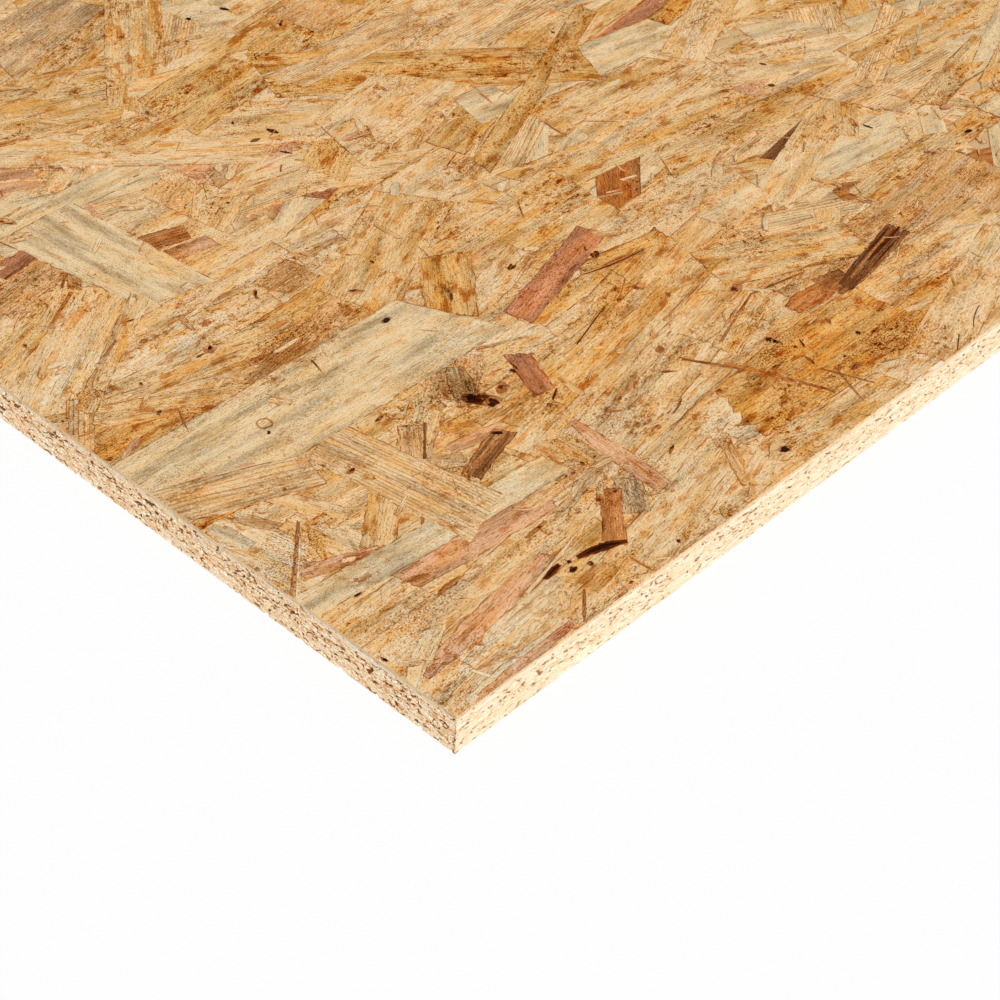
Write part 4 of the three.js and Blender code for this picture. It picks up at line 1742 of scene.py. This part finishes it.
def sawn_edge(name, quarter_turns, fine_end):
    """One sawn edge, made as if it faced -Y and then turned about Z onto its side."""
    on_long_edge = quarter_turns % 2 == 0
    run, outwards = (SHEET.x, SHEET.y / 2) if on_long_edge else (SHEET.y, SHEET.x / 2)
    piece = edge_bar(name, run / 2, fine_end)
    in_faces, in_middle = CUT_ON_LONG_EDGE if on_long_edge else CUT_ON_SHORT_EDGE
    values = {
        "Cut in faces": in_faces,
        "Cut in middle": in_middle,
        "Seed": quarter_turns * EDGE_SEED_STEP,
        "Half run": run / 2,
    }
    grow(piece, sawn_tree, values)
    mesh = settle(piece)
    turned = Matrix.Rotation(quarter_turns * math.pi / 2, 4, "Z")
    mesh.transform(turned @ Matrix.Translation((0, -outwards, FLOOR_Z)))
    mesh.materials.append(sawn_ends)
    print(name, len(mesh.polygons), "faces")
    return piece


edges = [
    sawn_edge("front_edge", 0, 1),
    sawn_edge("right_edge", 1, 0),
    sawn_edge("back_edge", 2, 0),
    sawn_edge("left_edge", 3, -1),
]

# %% [markdown]
# ## Behind the strands
#
# Between the strands on a face there are gaps a few tenths of a millimetre wide. On a real
# board they show more strands, so a plain plate with the same finish lies under the mats.

# %% The middle
IN_FROM_EDGE = 2 * MM
UP_FROM_FLOOR, BOTH_MATS = 0.5 * MM, 1.7 * MM  # the room it leaves below, and in all
core_low = (X_LOW + IN_FROM_EDGE, Y_LOW + IN_FROM_EDGE)
core_high = (X_HIGH - IN_FROM_EDGE, Y_HIGH - IN_FROM_EDGE)
core = flat_patch("inner_strands", core_low, core_high)
core.data.transform(Matrix.Translation((0, 0, FLOOR_Z + UP_FROM_FLOOR)))
solidify = core.modifiers.new("thickness", "SOLIDIFY")
solidify.thickness = SHEET.z - BOTH_MATS
solidify.offset = 1
settle(core)
core.data.materials.append(pressed_strands)
print("middle:", [round(side / MM, 1) for side in core.dimensions], "mm")

# %% [markdown]
# ## One board
#
# All pieces together stand for the one solid of the construction model. They ride on its
# only body.

# %% Standing in for the solid
pieces = (*mats, corner, bits, *edges, core)
for piece in pieces:
    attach(piece, "root")
    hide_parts("osb_panel")
print(len(pieces), "pieces stand for osb_panel")

# %% [markdown]
# ## A plain studio
#
# A wide, soft sun from the front left brightens the long edge and leaves the short one in
# its own shade, and a white sky fills the rest. The sky looks white to the camera but
# lights the board with about half of that, so that pale wood doesn't burn out.

# %% Studio
SUN_POWER, SUN_SOFTNESS = 2.1, math.radians(20)
SUN_DIRECTION = Vector((0.2, 0.55, -0.45))
SKY_LIGHT, SKY_SEEN = 0.55, 1.0
WHITE = (1, 1, 1, 1)
sun = bpy.data.lights.new("key", "SUN")
sun.energy = SUN_POWER
sun.angle = SUN_SOFTNESS
key = link("key", sun)
key.rotation_euler = SUN_DIRECTION.to_track_quat("-Z", "Y").to_euler()


def seen_directly(tree):
    """1 for what the camera sees itself, in a mirror or through glass."""
    camera_ray = tree.add("ShaderNodeLightPath", {}, {}, "Is Camera Ray")
    glossy_ray = camera_ray.beside("Is Glossy Ray")
    transmission_ray = camera_ray.beside("Is Transmission Ray")
    return camera_ray.math("MAXIMUM", glossy_ray).math("MAXIMUM", transmission_ray)


world = bpy.data.worlds.new("studio")
bpy.context.scene.world = world
world.use_nodes = True
world.node_tree.nodes.clear()
sky = Tree(world.node_tree)
ambient = sky.add("ShaderNodeBackground", {}, {"Color": WHITE, "Strength": SKY_LIGHT})
white = sky.add("ShaderNodeBackground", {}, {"Color": WHITE, "Strength": SKY_SEEN})
both = sky.add("ShaderNodeMixShader", {}, {0: seen_directly(sky), 1: ambient, 2: white})
sky.add("ShaderNodeOutputWorld", {}, {"Surface": both})
bpy.context.scene.view_settings.view_transform = "Standard"
print("sun", SUN_POWER, "sky", SKY_LIGHT)

# %% [markdown]
# ## The floor
#
# The sheet lies flat on a pale floor. A little of the diffuse floor is mixed into a plain
# white one, so that it stays pale but still takes the sheet's soft shadow.

# %% Floor
FLOOR_REACH = 30
FLOOR_GREY = opaque((0.85, 0.85, 0.85))
FLOOR_GLOW = 0.94  # the share of plain white that the camera sees
floor = flat_patch("floor", (-FLOOR_REACH, -FLOOR_REACH), (FLOOR_REACH, FLOOR_REACH))
floor.data.transform(Matrix.Translation((0, 0, FLOOR_Z)))
floor_finish, tree = new_finish("floor")
pale = tree.add("ShaderNodeBsdfDiffuse", {}, {"Color": FLOOR_GREY})
glow = tree.add("ShaderNodeEmission", {}, {"Color": WHITE, "Strength": 1.0})
seen_glow = seen_directly(tree) * FLOOR_GLOW
both = tree.add("ShaderNodeMixShader", {}, {0: seen_glow, 1: pale, 2: glow})
tree.add("ShaderNodeOutputMaterial", {}, {"Surface": both})
floor.data.materials.append(floor_finish)
print("floor at", round(FLOOR_Z, 4), "m")
